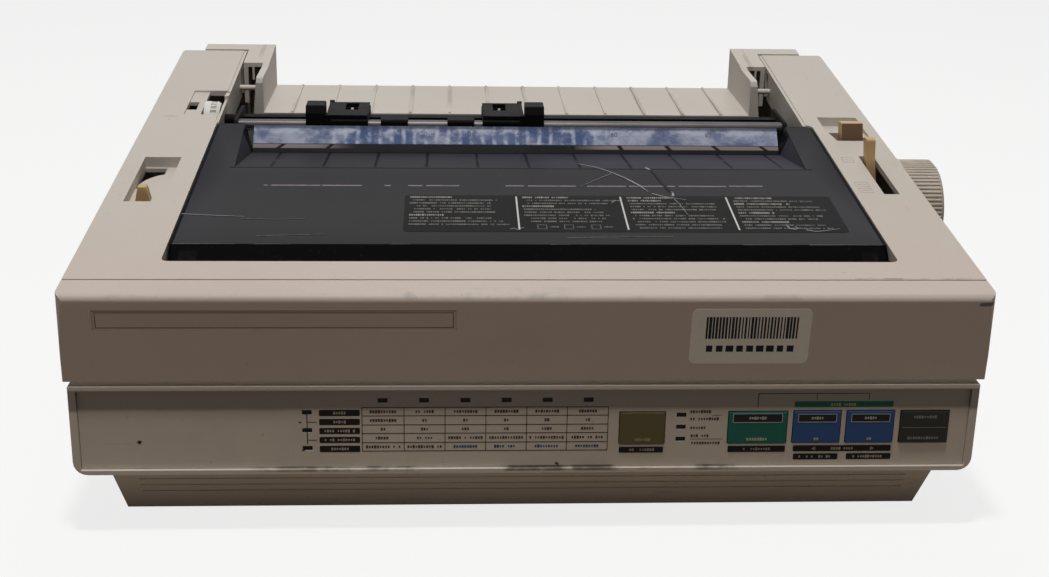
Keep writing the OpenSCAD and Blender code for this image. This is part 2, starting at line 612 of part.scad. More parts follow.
module paper_guide() color(shell_beige) seat() {
    // floor with its ribs and front edge
    box(-guide_half_w - 1, guide_half_w + 1, guide_front_y, guide_rear_y, guide_floor_b, guide_floor_z);
    for (i = [-6:5]) box((i + 0.5)*rib_pitch - 0.6, (i + 0.5)*rib_pitch + 0.6, guide_front_y + 1,
        guide_rear_y - 1,
                         guide_floor_z - 0.5, guide_floor_z + rib_h);
    box(-guide_half_w - 1, guide_half_w + 1, guide_rear_y - guide_t, guide_rear_y, guide_floor_b - 14,
        guide_floor_b + 1);
    for (side = [0, 1]) mirror([side, 0, 0]) {
        // side wall, low in front and full height behind
        intersection() {
            along_x(guide_half_w, guide_half_w + guide_wall_foot) polygon(rounded([
                [guide_front_y, guide_floor_b], [guide_rear_y, guide_floor_b],
                [guide_rear_y, deck(guide_rear_y)], [shoulder_front_y, deck(shoulder_front_y)],
                [shoulder_front_y - 5, deck(shoulder_front_y) - 1], [guide_front_y + 1.5, guide_wall_top],
                [guide_front_y, guide_wall_top - 3]], [0, 0, 0, 0, 3, 1.5, 1]));
            along_y(guide_front_y - 1, guide_rear_y + 1) polygon([[guide_half_w - 1, guide_floor_b - 1],
                [guide_half_w + guide_wall_foot, guide_floor_b], [guide_half_w + guide_wall, deck(body_d)],
                [guide_half_w + guide_wall, deck(guide_rear_y) + 1],
                    [guide_half_w - 1, deck(guide_rear_y) + 1]]);
        }
        // shoulder that fills the tower's inner corner, open in front, and the ear behind the tower
        difference() {
            deck_slab(guide_half_w, guide_half_w + shoulder_w, shoulder_front_y, guide_rear_y,
                      0, deck(shoulder_front_y) - guide_floor_b);
            deck_slab(guide_half_w + guide_wall, guide_half_w + shoulder_w - guide_t, shoulder_front_y - 1,
                      guide_rear_y - guide_t, guide_t, deck(guide_rear_y));
        }
        box(guide_half_w + 9, guide_half_w + 10.2, shoulder_front_y, shoulder_front_y + 6, 131, 140);
        difference() {
            deck_slab(guide_half_w, ear_half_w, ear_front_y, guide_rear_y, 0, ear_drop);
            deck_slab(guide_half_w + guide_t, ear_half_w - guide_t, ear_front_y + 5, guide_rear_y - guide_t,
                      guide_t, ear_drop + 5);
            // the ear's front leans back to swing clear of the tower
            along_x(guide_half_w + shoulder_w + 0.1, half_w) polygon([
                [ear_front_y - 1, deck(ear_front_y) - 1.5],
                [ear_front_y, deck(ear_front_y) - 1.5], [ear_front_y + 3, deck(ear_front_y) - 11],
                [ear_front_y + 3, 90], [ear_front_y - 1, 90]]);
        }
        rod_x(guide_half_w + 1, tower_half_w + 2.6, guide_hinge.x, guide_hinge.y, guide_pin_r);
    }
}

// ================================================================ frames, chute and shafts
ear_y0 = rod_y - 8;
ear_y1 = square_y + 13;
ear_z = 131.5;
frame_top_z = 110;
bush_r = 6;

module side_frame() difference() {
    along_x(frame_x0, frame_x0 + frame_t) polygon(rounded([[frame_y0, frame_foot_z],
        [frame_y1, frame_foot_z],
        [frame_y1, 70], [ear_y1, 104], [ear_y1, ear_z], [ear_y0, ear_z], [ear_y0, frame_top_z + 4],
        [frame_y0 + 46, frame_top_z], [frame_y0, 88]], [2, 2, 6, 6, 3, 3, 5, 8, 8]));
    rod_x(0, half_w, platen_y, platen_z, shaft_r + fit);
    rod_x(0, half_w, square_y, square_z, journal_r + fit);
    for (c = [front_rod, back_rod]) rod_x(0, half_w, c.x, c.y, carriage_rod_r);
    rod_x(0, half_w, rod_y, rod_z, rod_r);
}
// Turned-in foot that stands on the lower case's pads.
module frame_feet() for (y = frame_foot_ys)
    box(frame_x0 - 7, frame_x0 + frame_t, y - 11, y + 11, frame_foot_z, frame_foot_z + frame_t);

module left_side_frame() color(steel) seat() {
    mirror([1, 0, 0]) union() { side_frame(); frame_feet(); }
    // studs of the idler gears, and the posts that hold the feed motor
    for (c = [idler_a, idler_b]) rod_x(gear_x0 - 0.6, -frame_x0 - frame_t, c.x, c.y, stud_r);
    for (p = motor_posts) rod_x(motor_face_x, -frame_x0 - frame_t, p.x, p.y, 2.5);
    // shelf with the stud of the belt's idler pulley
    box(-frame_x0, -pulley_x + 7, belt_y - 7, belt_y + 7, belt_z - 8, belt_z - 6);
    rod_z(-pulley_x, belt_y, belt_z - 7, belt_z + 4, 2.5);
}
module right_side_frame() color(steel) seat() {
    side_frame();
    frame_feet();
    for (p = [feed_pivot, release_pivot]) rod_x(frame_x0 + frame_t, lever_stud_end, p.x, p.y, stud_r);
    // shelf that carries the carriage motor
    box(pulley_x - 17, frame_x0, belt_y - 17, belt_y + 17, motor_shelf_z - 2, motor_shelf_z);
}
lever_stud_end = 187.5;
motor_face_x = -167;
motor_size = 32;
motor_posts = [for (dy = [-1, 1]) pinion + [dy*13, -13]];
motor_shelf_z = 27;

module paper_chute() color(black) seat() along_x(-frame_x0, frame_x0) polygon([
    [platen_y + 21, 92], [platen_y + 23, 92], [platen_y + 33, 110.5], [guide_front_y - 9, 112],
    [guide_front_y - 1.5, 116.5], [guide_front_y - 1.5, 118.5], [guide_front_y - 10, 114],
        [platen_y + 32, 112.5]]);

module tractor_rod() color(steel) seat() rod_x(-frame_x0 - frame_t, frame_x0 + frame_t, rod_y, rod_z,
    rod_r - 0.001);

module carriage_rods() color(steel) seat() for (c = [front_rod, back_rod])
    rod_x(-frame_x0 - frame_t, frame_x0 + frame_t, c.x, c.y, carriage_rod_r - 0.001);

module tractor_shaft() color([0.30, 0.30, 0.31]) seat() {
    box(-frame_x0 + 0.3, frame_x0 - 0.3, square_y - square_w/2, square_y + square_w/2,
        square_z - square_w/2, square_z + square_w/2);
    rod_x(gear_x0 - 4, -frame_x0 + 1, square_y, square_z, journal_r);
    rod_x(frame_x0 - 1, frame_x0 + 4, square_y, square_z, journal_r);
}

// ================================================================ gears
// A spur gear's outline: straight-sided teeth with a little backlash.
module gear_outline(teeth, turn) {
    pitch = gear_m*teeth/2;
    step = 360/teeth;
    polygon([for (i = [0:teeth - 1], p = [[-0.31, -1.15], [-0.11, 0.72], [0.11, 0.72], [0.31, -1.15]])
        let (a = turn + (i + p.x)*step, r = pitch + p.y*gear_m) r*[cos(a), sin(a)]]);
}
module gear(centre, teeth, turn, bore, x0 = gear_x0, w = gear_w) difference() {
    along_x(x0, x0 + w) translate(centre) gear_outline(teeth, turn);
    rod_x(x0 - 1, x0 + w + 1, centre.x, centre.y, bore);
}
module platen_gear() color([0.85, 0.84, 0.80]) seat() difference() {
    union() {
        gear(platen, platen_teeth, platen_turn, shaft_r);
        tube_x(gear_x0 + gear_w - 0.1, -frame_x0 - frame_t - 0.4, platen, shaft_r + 2.5, shaft_r);
    }
    for (i = [0:4]) rotate_about(platen, i*72) rod_x(gear_x0 - 1, gear_x0 + gear_w + 1, platen_y + 10,
        platen_z, 2.6);
}
module tube_x(x0, x1, c, r_out, r_in) difference() {
    rod_x(x0, x1, c.x, c.y, r_out);
    rod_x(x0 - 1, x1 + 1, c.x, c.y, r_in);
}
module rotate_about(c, turn) translate([0, c.x, c.y]) rotate([turn, 0, 0]) translate(
    [0, -c.x, -c.y]) children();

module idler_gear_a() color([0.85, 0.84, 0.80]) seat() gear(idler_a, idler_teeth, idler_a_turn,
    stud_r + fit);
module idler_gear_b() color([0.85, 0.84, 0.80]) seat() gear(idler_b, idler_teeth, idler_b_turn,
    stud_r + fit);
module tractor_gear() color([0.90, 0.89, 0.86]) seat() {
    gear(square, tractor_teeth, square_turn, journal_r);
    tube_x(gear_x0 - 3.5, gear_x0, square, rim_r, journal_r);
    difference() {
        translate([gear_x0 + gear_w, square_y, square_z]) rotate([0, 90, 0])
            cylinder(r1 = rim_r, r2 = rim_r - 1.2, h = 1.8);
        rod_x(gear_x0, gear_x0 + gear_w + 3, square_y, square_z, journal_r);
    }
}
rim_r = 10.4;            // smooth rims on both sides of the tractor gear
module feed_pinion() color([0.75, 0.62, 0.30]) seat() {
    gear(pinion, pinion_teeth, pinion_turn, 1.5);
    rod_x(motor_face_x - 6, gear_x0 + gear_w + 0.3, pinion.x, pinion.y, 1.5);
}
module feed_motor() color([0.35, 0.35, 0.37]) seat() difference() {
    union() {
        rod_x(motor_face_x - 19, motor_face_x - 1.4, pinion.x, pinion.y, motor_size/2 - 1);
        box(motor_face_x - 1.4, motor_face_x, pinion.x - motor_size/2, pinion.x + motor_size/2,
            pinion.y - motor_size/2, pinion.y + motor_size/2);
    }
    rod_x(motor_face_x - 7, motor_face_x + 1, pinion.x, pinion.y, 1.5 + fit);
}

// ================================================================ platen
knob_x0 = half_w + 2.2;
knob_flange = 4;
knob_ridges = 72;

module platen_shaft() color(steel) seat() rod_x(gear_x0 - 0.8, knob_end_x - 5, platen_y, platen_z,
    shaft_r - 0.001);
module platen_roller() color(black) seat() tube_x(-platen_end_x, platen_end_x, platen, platen_r, shaft_r);
module platen_knob() color(shell_beige) seat() difference() {
    union() {
        rod_x(knob_x0, knob_x0 + knob_flange, platen_y, platen_z, knob_r);
        along_x(knob_x0 + knob_flange - 0.5, knob_end_x - 2) translate(platen)
            polygon([for (i = [0:knob_ridges - 1],
            p = [[-0.3, -0.7], [-0.2, 0], [0.2, 0], [0.3, -0.7]])
            let (a = (i + p.x)*360/knob_ridges, r = knob_r - 0.6 + p.y) r*[cos(a), sin(a)]]);
        translate([knob_end_x - 2, platen_y, platen_z]) rotate([0, 90, 0])
            cylinder(r1 = knob_r - 1.3, r2 = knob_r - 3, h = 2);
        rod_x(half_w - case_wall - 6, knob_x0 + 1, platen_y, platen_z, shaft_r + 4);
    }
    rod_x(half_w - case_wall - 8, knob_end_x - 4.9, platen_y, platen_z, shaft_r);
    rod_x(knob_end_x - 2.5, knob_end_x + 1, platen_y, platen_z, knob_r - 7);
}

// ================================================================ tractors and paper supports
lock_w = 10.4;
tractor_y0 = rod_y - 7;
tractor_y1 = square_y + 12;
tractor_z0 = 116;
tractor_top = square_z + 6.2;
hub_r = 5.6;
pin_r = 7.5;
pin_slot_w = 7;
door_t = 2;
door_hinge_r = 1.2;
left_tractor_x = -94.6;
right_tractor_x = 0;
lock_top_z = 139.5;

// Pieces of a tractor are drawn for the left one, with its lock on the left, about x = 0.
module tractor_body() difference() {
    union() {
        along_x(-tractor_w/2 + lock_w, tractor_w/2) polygon(rounded([[tractor_y0, tractor_z0 + 5],
            [tractor_y0 + 5, tractor_z0], [tractor_y1, tractor_z0], [tractor_y1, tractor_top],
            [tractor_y0, tractor_top]], [1, 1, 2, 1, 1]));
        for (y = [tractor_y0, tractor_y1 - 2]) box(door_hinge_x - 1.3, door_hinge_x + 1.3, y, y + 2,
                                                   tractor_top - 0.5, door_hinge_z + 1.4);
    }
    rod_x(-tractor_w, tractor_w, rod_y, rod_z, rod_r + fit);
    rod_x(-tractor_w, tractor_w, square_y, square_z, hub_r + fit);
    rod_x(pin_slot_x - pin_slot_w/2, pin_slot_x + pin_slot_w/2, square_y, square_z, pin_r + 0.4);
    translate([door_hinge_x, tractor_y0 - 1, door_hinge_z]) rotate([-90, 0, 0])
        cylinder(r = 0.7 + fit, h = tractor_y1 - tractor_y0 + 2);
}
door_hinge_x = -tractor_w/2 + lock_w + 1.4;
door_hinge_z = tractor_top + 1.4;
pin_slot_x = 7;

module tractor_door() difference() {
    union() {
        box(door_hinge_x, tractor_w/2 - 0.3, tractor_y0 + 2.3, tractor_y1 - 2.3, tractor_top + 0.2,
            tractor_top + 0.2 + door_t);
        translate([door_hinge_x, tractor_y0 + 2.3, door_hinge_z]) rotate([-90, 0, 0])
            cylinder(r = door_hinge_r, h = tractor_y1 - tractor_y0 - 4.6);
        translate([door_hinge_x, tractor_y0 + 0.5, door_hinge_z]) rotate([-90, 0, 0])
            cylinder(r = 0.7, h = tractor_y1 - tractor_y0 - 1);
    }
    box(pin_slot_x - pin_slot_w/2, pin_slot_x + pin_slot_w/2, square_y - 7, square_y + 7, tractor_top - 1,
        tractor_top + door_t + 1);
}
module tractor_lock() difference() {
    along_x(-tractor_w/2, -tractor_w/2 + lock_w - 0.2) polygon(rounded([[rod_y - 8, rod_z - 4],
        [rod_y - 4, rod_z - 6],
        [rod_y + 4, rod_z - 6], [rod_y + 6, rod_z - 2], [rod_y + 6, lock_top_z], [rod_y - 6, lock_top_z],
        [rod_y - 8, lock_top_z - 4]], [1, 1, 1, 1, 1.5, 1, 1]));
    rod_x(-tractor_w, tractor_w, rod_y, rod_z, rod_r + fit);
}
module pin_wheel() difference() {
    union() {
        rod_x(-tractor_w/2 + lock_w + 0.4, tractor_w/2 - 0.4, square_y, square_z, hub_r);
        for (i = [0:5]) rotate_about(square, i*60) translate([pin_slot_x, square_y, square_z + hub_r - 0.4])
            cylinder(r1 = 1.1, r2 = 0.6, h = pin_r - hub_r + 0.4, $fn = 16);
    }
    box(-tractor_w, tractor_w, square_y - square_w/2 - 0.1, square_y + square_w/2 + 0.1,
        square_z - square_w/2 - 0.1, square_z + square_w/2 + 0.1);
}
module left_place() translate([left_tractor_x, 0, 0]) children();
module right_place() translate([right_tractor_x, 0, 0]) mirror([1, 0, 0]) children();

module left_tractor() color(black) seat() left_place() tractor_body();
module left_tractor_door() color([0.2, 0.2, 0.21]) seat() left_place() tractor_door();
module left_tractor_lock() color(black) seat() left_place() tractor_lock();
module left_pin_wheel() color([0.85, 0.84, 0.80]) seat() left_place() pin_wheel();
module right_tractor() color(black) seat() right_place() tractor_body();
module right_tractor_door() color([0.2, 0.2, 0.21]) seat() right_place() tractor_door();
module right_tractor_lock() color(black) seat() right_place() tractor_lock();
module right_pin_wheel() color([0.85, 0.84, 0.80]) seat() right_place() pin_wheel();

support_w = 14.5;
module paper_support(x) color(black) seat() difference() {
    along_x(x - support_w/2, x + support_w/2) polygon(rounded([[rod_y - 7, rod_z - 6.2],
        [rod_y - 5, rod_z - 7.4],
        [rod_y + 5, rod_z - 7.4], [rod_y + 7, rod_z + 1], [rod_y + 7, rod_z + 4.6],
            [rod_y - 6.5, rod_z + 4.6]],
        [1, 1, 2, 1, 2, 1.5]));
    rod_x(x - support_w, x + support_w, rod_y, rod_z, rod_r + fit);
}
module left_paper_support() paper_support(-64);
module right_paper_support() paper_support(-28.2);

// ================================================================ carriage
carriage_w = 52;
module carriage() color(black) seat() difference() {
    union() {
        along_x(carriage_x - carriage_w/2, carriage_x + carriage_w/2) polygon([[belt_y + 7.7, 58],
            [back_rod.x + 8, 52], [back_rod.x + 8, 68], [back_rod.x - 10, 72], [back_rod.x - 10, 80],
                [belt_y + 7.7, 80]]);
        box(carriage_x - 24, carriage_x + 24, front_rod.x - 5, front_rod.x + 10, 79, 84);
    }
    for (c = [front_rod, back_rod]) rod_x(-half_w, half_w, c.x, c.y, carriage_rod_r + fit);
}
module print_head() color([0.25, 0.25, 0.27]) seat() {
    for (i = [0:4]) box(carriage_x - 19, carriage_x + 19, back_rod.x - 18 + i*4, back_rod.x - 16 + i*4,
        80.3, 106);
    box(carriage_x - 16, carriage_x + 16, back_rod.x - 19.5, back_rod.x + 2, 80, 104);
    along_x(carriage_x - 4, carriage_x + 4) polygon([[back_rod.x + 1, 84], [platen_y - platen_r - 0.9, 93],
        [platen_y - platen_r - 0.9, 99], [back_rod.x + 1, 103]]);
}
module ribbon_cartridge() color([0.13, 0.13, 0.14]) seat()
    box(carriage_x - 30, carriage_x + 30, front_rod.x - 24, front_rod.x + 9.5, 84, 97);
module drive_pulley() color(steel) seat() {
    rod_z(pulley_x, belt_y, belt_z - 3.6, belt_z + 3.6, pulley_r);
    rod_z(pulley_x, belt_y, motor_shelf_z + 12, belt_z + 1, 2.5);
}
module idler_pulley() color(black) seat() difference() {
    rod_z(-pulley_x, belt_y, belt_z - 3.6, belt_z + 3.6, pulley_r);
    rod_z(-pulley_x, belt_y, belt_z - 5, belt_z + 5, 2.5 + fit);
}
module drive_belt() color([0.08, 0.08, 0.08]) seat() translate([0, belt_y, belt_z - 3]) linear_extrude(6)
    difference() { belt_loop(pulley_r + 1.4); belt_loop(pulley_r + fit); }
module belt_loop(r) {
    square([2*pulley_x, 2*r], center = true);
    for (side = [-1, 1]) translate([side*pulley_x, 0]) circle(r = r);
}
module carriage_motor() color([0.35, 0.35, 0.37]) seat() difference() {
    rod_z(pulley_x, belt_y, motor_shelf_z, motor_shelf_z + 28, 15.5);
    rod_z(pulley_x, belt_y, motor_shelf_z + 11, motor_shelf_z + 29, 2.5 + fit);
}

// ================================================================ levers
module thickness_lever() color(tan_lever) seat() on_deck(dial_x, dial_y, 0) rotate(dial_rest) {
    difference() {
        union() {
            translate([0, 0, -dial_stud_depth + 1]) cylinder(r = 3.4, h = 3.4);
            translate([0, -3, -dial_stud_depth + 1]) cube([dial_r + 0.8, 6, 2]);
        }
        translate([0, 0, -20]) cylinder(r = 1.8 + fit, h = 20);
    }
    translate([dial_r - 0.8, -2, -dial_stud_depth + 1.5]) cube([1.6, 4, 7.9]);
    translate([dial_r, 0, 0]) rotate(-dial_rest) hull() {
        translate([-3.4, -2.6, 0.2 - pocket_depth]) cube([6.8, 5.2, 0.4]);
        translate([-2, -2, 1.8]) cube([4, 4, 0.3]);
    }
}
module release_lever() color(tan_lever) seat() difference() {
    union() {
        rod_x(release_lever_x - 4, release_lever_x + 4, release_pivot.x, release_pivot.y, 6.5);
        along_x(release_lever_x - release_lever_w/2, release_lever_x + release_lever_w/2) polygon(rounded([
            [release_pivot.x - 5, release_pivot.y], [release_pivot.x + 5, release_pivot.y - 1],
            [release_slot_y1 - 1.5, release_top_z - 2], [release_slot_y1 - 3, release_top_z],
            [release_slot_y1 - 7.5, release_top_z], [release_slot_y1 - 9, release_top_z - 8]],
                [0, 0, 1, 1, 2, 0]));
    }
    rod_x(0, half_w, release_pivot.x, release_pivot.y, stud_r + fit);
}
module feed_lever() color(tan_lever) seat() difference() {
    union() {
        rod_x(feed_lever_x - 6, feed_lever_x + 6, feed_pivot.x, feed_pivot.y, 6.5);
        box(feed_lever_x - 4, feed_lever_x + 4, feed_pivot.x - 3, feed_pivot.x + 1, feed_pivot.y + 5, 129);
        along_x(feed_lever_x - feed_lever_w/2, feed_lever_x + feed_lever_w/2) polygon(rounded([
            [feed_slot_y0 + 3.6, 128], [feed_slot_y0 + 11, 127], [feed_slot_y0 + 13.5, 136.4],
            [feed_slot_y0 + 6.2, 137.2]], [0, 0, 1, 1]));
    }
    rod_x(0, half_w, feed_pivot.x, feed_pivot.y, stud_r + fit);
}

// ================================================================ boards, power and sockets
module main_board() color([0.12, 0.38, 0.22]) seat() {
    box(-128, -12, board_y0, board_y1, board_z, board_z + 1.6);
    for (i = [0:3]) box(-110 + i*24, -94 + i*24, board_y0 + 38, board_y0 + 78, board_z + 1.6, board_z + 5);
    for (i = [0:2]) rod_z(-100 + i*28, board_y0 + 138, board_z + 1.6, board_z + 18, 7);
}
module transformer() color([0.45, 0.42, 0.38]) seat() {
    box(70, 132, body_d - 94, body_d - 40, base_bottom_z + lower_wall, 52);
    box(64, 138, body_d - 84, body_d - 50, base_bottom_z + lower_wall, 44);
}
module power_switch() color(black) seat() difference() {
    union() {
        box(band_half_w - 20, band_half_w - lower_wall, switch_y - switch_d/2 - 1,
            switch_y + switch_d/2 + 1,
            switch_z - switch_h/2 - 1, switch_z + switch_h/2 + 1);
        box(band_half_w - lower_wall, band_half_w + 1, switch_y - switch_d/2 + 0.1,
            switch_y + switch_d/2 - 0.1,
            switch_z - switch_h/2 + 0.1, switch_z + switch_h/2 - 0.1);
    }
    box(band_half_w - 12, band_half_w + 2, switch_y - 9.3, switch_y + 9.3, switch_z - 5.5, switch_z + 5.5);
    rod_z(band_half_w - 4, switch_y, switch_z - 7, switch_z + 7, 1 + fit);
}
module switch_rocker() color([0.15, 0.15, 0.16]) seat() {
    linear_extrude_between(switch_z - 5.2, switch_z + 5.2) polygon([[band_half_w - 4, switch_y - 7],
        [band_half_w + 2.6, switch_y - 7], [band_half_w + 0.6, switch_y], [band_half_w + 0.2, switch_y + 7],
        [band_half_w - 5, switch_y + 6.4], [band_half_w - 6.2, switch_y]]);
    rod_z(band_half_w - 4, switch_y, switch_z - 6.6, switch_z + 6.6, 1);
}
module linear_extrude_between(z0, z1) translate([0, 0, z0]) linear_extrude(z1 - z0) children();
module mains_inlet() color(black) seat() difference() {
    union() {
        box(inlet_x - inlet_w/2 + 0.1, inlet_x + inlet_w/2 - 0.1, band_rear_y - 22, band_rear_y + 0.5,
            inlet_z - inlet_h/2 + 0.1, inlet_z + inlet_h/2 - 0.1);
        box(inlet_x - inlet_w/2 - 5, inlet_x + inlet_w/2 + 5, band_rear_y, band_rear_y + 1.6,
            inlet_z - inlet_h/2 - 2, inlet_z + inlet_h/2 + 2);
    }
    box(inlet_x - inlet_w/2 + 2, inlet_x + inlet_w/2 - 2, band_rear_y - 16, band_rear_y + 3,
        inlet_z - inlet_h/2 + 2, inlet_z + inlet_h/2 - 2);
}
module interface_port() color(steel) seat() difference() {
    union() {
        box(port_x - port_w/2 + 0.1, port_x + port_w/2 - 0.1, band_rear_y - 14, band_rear_y + 0.5,
            port_z - port_h/2 + 0.1, port_z + port_h/2 - 0.1);
        box(port_x - port_w/2 - 6, port_x + port_w/2 + 6, band_rear_y, band_rear_y + 1.2,
            port_z - port_h/2 - 1, port_z + port_h/2 + 1);
    }
    difference() {
        box(port_x - port_w/2 + 3, port_x + port_w/2 - 3, band_rear_y - 9, band_rear_y + 3, port_z - 5.5,
            port_z + 5.5);
        box(port_x - port_w/2 + 6, port_x + port_w/2 - 6, band_rear_y - 10, band_rear_y, port_z - 2,
            port_z + 2);
    }
}

lower_case();
rubber_feet();
upper_case();
control_panel();
panel_board();
indicator_lamps();
olive_key();
green_key();
left_blue_key();
right_blue_key();
grey_key();
front_cover();
rule_strip();
paper_guide();
left_side_frame();
right_side_frame();
paper_chute();
tractor_rod();
tractor_shaft();
tractor_gear();
left_tractor();
left_tractor_door();
left_tractor_lock();
left_pin_wheel();
right_tractor();
right_tractor_door();
right_tractor_lock();
right_pin_wheel();
left_paper_support();
right_paper_support();
platen_shaft();
platen_roller();
platen_knob();
platen_gear();
idler_gear_a();
idler_gear_b();
feed_motor();
feed_pinion();
carriage_rods();
carriage();
print_head();
ribbon_cartridge();
carriage_motor();
drive_pulley();
idler_pulley();
drive_belt();
thickness_lever();
release_lever();
feed_lever();
main_board();
transformer();
power_switch();
switch_rocker();
mains_inlet();
interface_port();
case_screws();
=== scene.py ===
import json
import math
import random
import bmesh
import bpy
from mathutils import Matrix, Vector

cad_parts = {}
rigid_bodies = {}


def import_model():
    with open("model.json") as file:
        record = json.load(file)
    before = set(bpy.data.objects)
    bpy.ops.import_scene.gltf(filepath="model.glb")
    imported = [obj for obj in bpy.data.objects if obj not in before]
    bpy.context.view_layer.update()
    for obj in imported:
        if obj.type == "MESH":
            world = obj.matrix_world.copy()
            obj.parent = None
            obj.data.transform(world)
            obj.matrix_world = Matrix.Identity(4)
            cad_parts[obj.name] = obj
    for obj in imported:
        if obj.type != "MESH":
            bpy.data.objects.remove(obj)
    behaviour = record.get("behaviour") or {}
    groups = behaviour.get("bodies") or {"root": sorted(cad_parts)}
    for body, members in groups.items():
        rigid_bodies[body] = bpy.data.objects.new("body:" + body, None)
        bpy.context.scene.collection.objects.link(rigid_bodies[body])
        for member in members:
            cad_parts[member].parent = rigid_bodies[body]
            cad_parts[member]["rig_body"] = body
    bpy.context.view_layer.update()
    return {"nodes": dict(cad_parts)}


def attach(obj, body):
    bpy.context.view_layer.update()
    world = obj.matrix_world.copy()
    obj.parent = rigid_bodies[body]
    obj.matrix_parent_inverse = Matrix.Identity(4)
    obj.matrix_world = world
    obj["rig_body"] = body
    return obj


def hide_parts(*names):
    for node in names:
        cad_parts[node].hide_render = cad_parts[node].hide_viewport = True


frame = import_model()
nodes = frame["nodes"]

# ------------------------------------------------------------------ the room
# A pale floor in a white room. One soft box hangs a little in front of the printer, so its front
# is in shade, another hangs behind it. The camera stands left of the middle and looks down.

IMAGE_W = 1049            # pixels across the picture, which the next two are given in
FOCAL_PX = 1486.89
CENTRE_UP_PX = 85
SENSOR_MM = 36
CAMERA_AT = (-0.04901, -0.73887, 0.33339)
YAW, PITCH, ROLL = 0.0556, 0.3093, 0.0205


def placed(name, data):
    """An object in the scene around its data."""
    made = bpy.data.objects.new(name, data)
    bpy.context.scene.collection.objects.link(made)
    return made


camera_data = bpy.data.cameras.new("camera")
camera_data.sensor_width = SENSOR_MM
camera_data.lens = FOCAL_PX*SENSOR_MM/IMAGE_W
camera_data.shift_y = -CENTRE_UP_PX/IMAGE_W
camera = placed("camera", camera_data)
forward = Vector((math.sin(YAW)*math.cos(PITCH), math.cos(YAW)*math.cos(PITCH), -math.sin(PITCH)))
right = Vector((math.cos(YAW), -math.sin(YAW), 0))
up = right.cross(forward)
level_right = math.cos(ROLL)*right + math.sin(ROLL)*up
level_up = math.cos(ROLL)*up - math.sin(ROLL)*right
turn = Matrix((level_right, level_up, -forward)).transposed().to_4x4()
camera.matrix_world = Matrix.Translation(CAMERA_AT) @ turn
bpy.context.scene.camera = camera
bpy.context.scene.view_settings.view_transform = "Standard"


def soft_box(name, at, aim, size, power, tint):
    """A square lamp that hangs at one point and faces another."""
    data = bpy.data.lights.new(name, "AREA")
    data.size, data.energy, data.color = size, power, tint
    light = placed(name, data)
    light.location = at
    light.rotation_euler = (Vector(aim) - Vector(at)).to_track_quat("-Z", "Y").to_euler()


soft_box("front_soft_box", (-0.1, -0.36, 1.75), (0, 0, 0.1), 0.14, 16, (1, 0.98, 0.96))
soft_box("rear_soft_box", (0.15, 0.75, 1.6), (0, 0.05, 0.1), 1.2, 4, (1, 0.99, 0.98))


class Wire:
    """A shader socket that sums are written with: an operator adds the Math node that works it out."""

    def __init__(self, finish, socket):
        self.finish, self.socket = finish, socket

    def sum(self, operation, *values):
        return self.finish.node("ShaderNodeMath", {"operation": operation}, dict(enumerate(values)))

    def __add__(self, other):
        return self.sum("ADD", self, other)

    def __radd__(self, other):
        return self.sum("ADD", other, self)

    def __sub__(self, other):
        return self.sum("SUBTRACT", self, other)

    def __rsub__(self, other):
        return self.sum("SUBTRACT", other, self)

    def __mul__(self, other):
        return self.sum("MULTIPLY", self, other)

    def __rmul__(self, other):
        return self.sum("MULTIPLY", other, self)

    def most(self, other):
        return self.sum("MAXIMUM", self, other)

    def size(self):
        """The value without its sign."""
        return self.sum("ABSOLUTE", self)

    def near(self, pitch):
        """How far the value is from the nearest multiple of pitch."""
        return self.sum("PINGPONG", self, pitch/2)


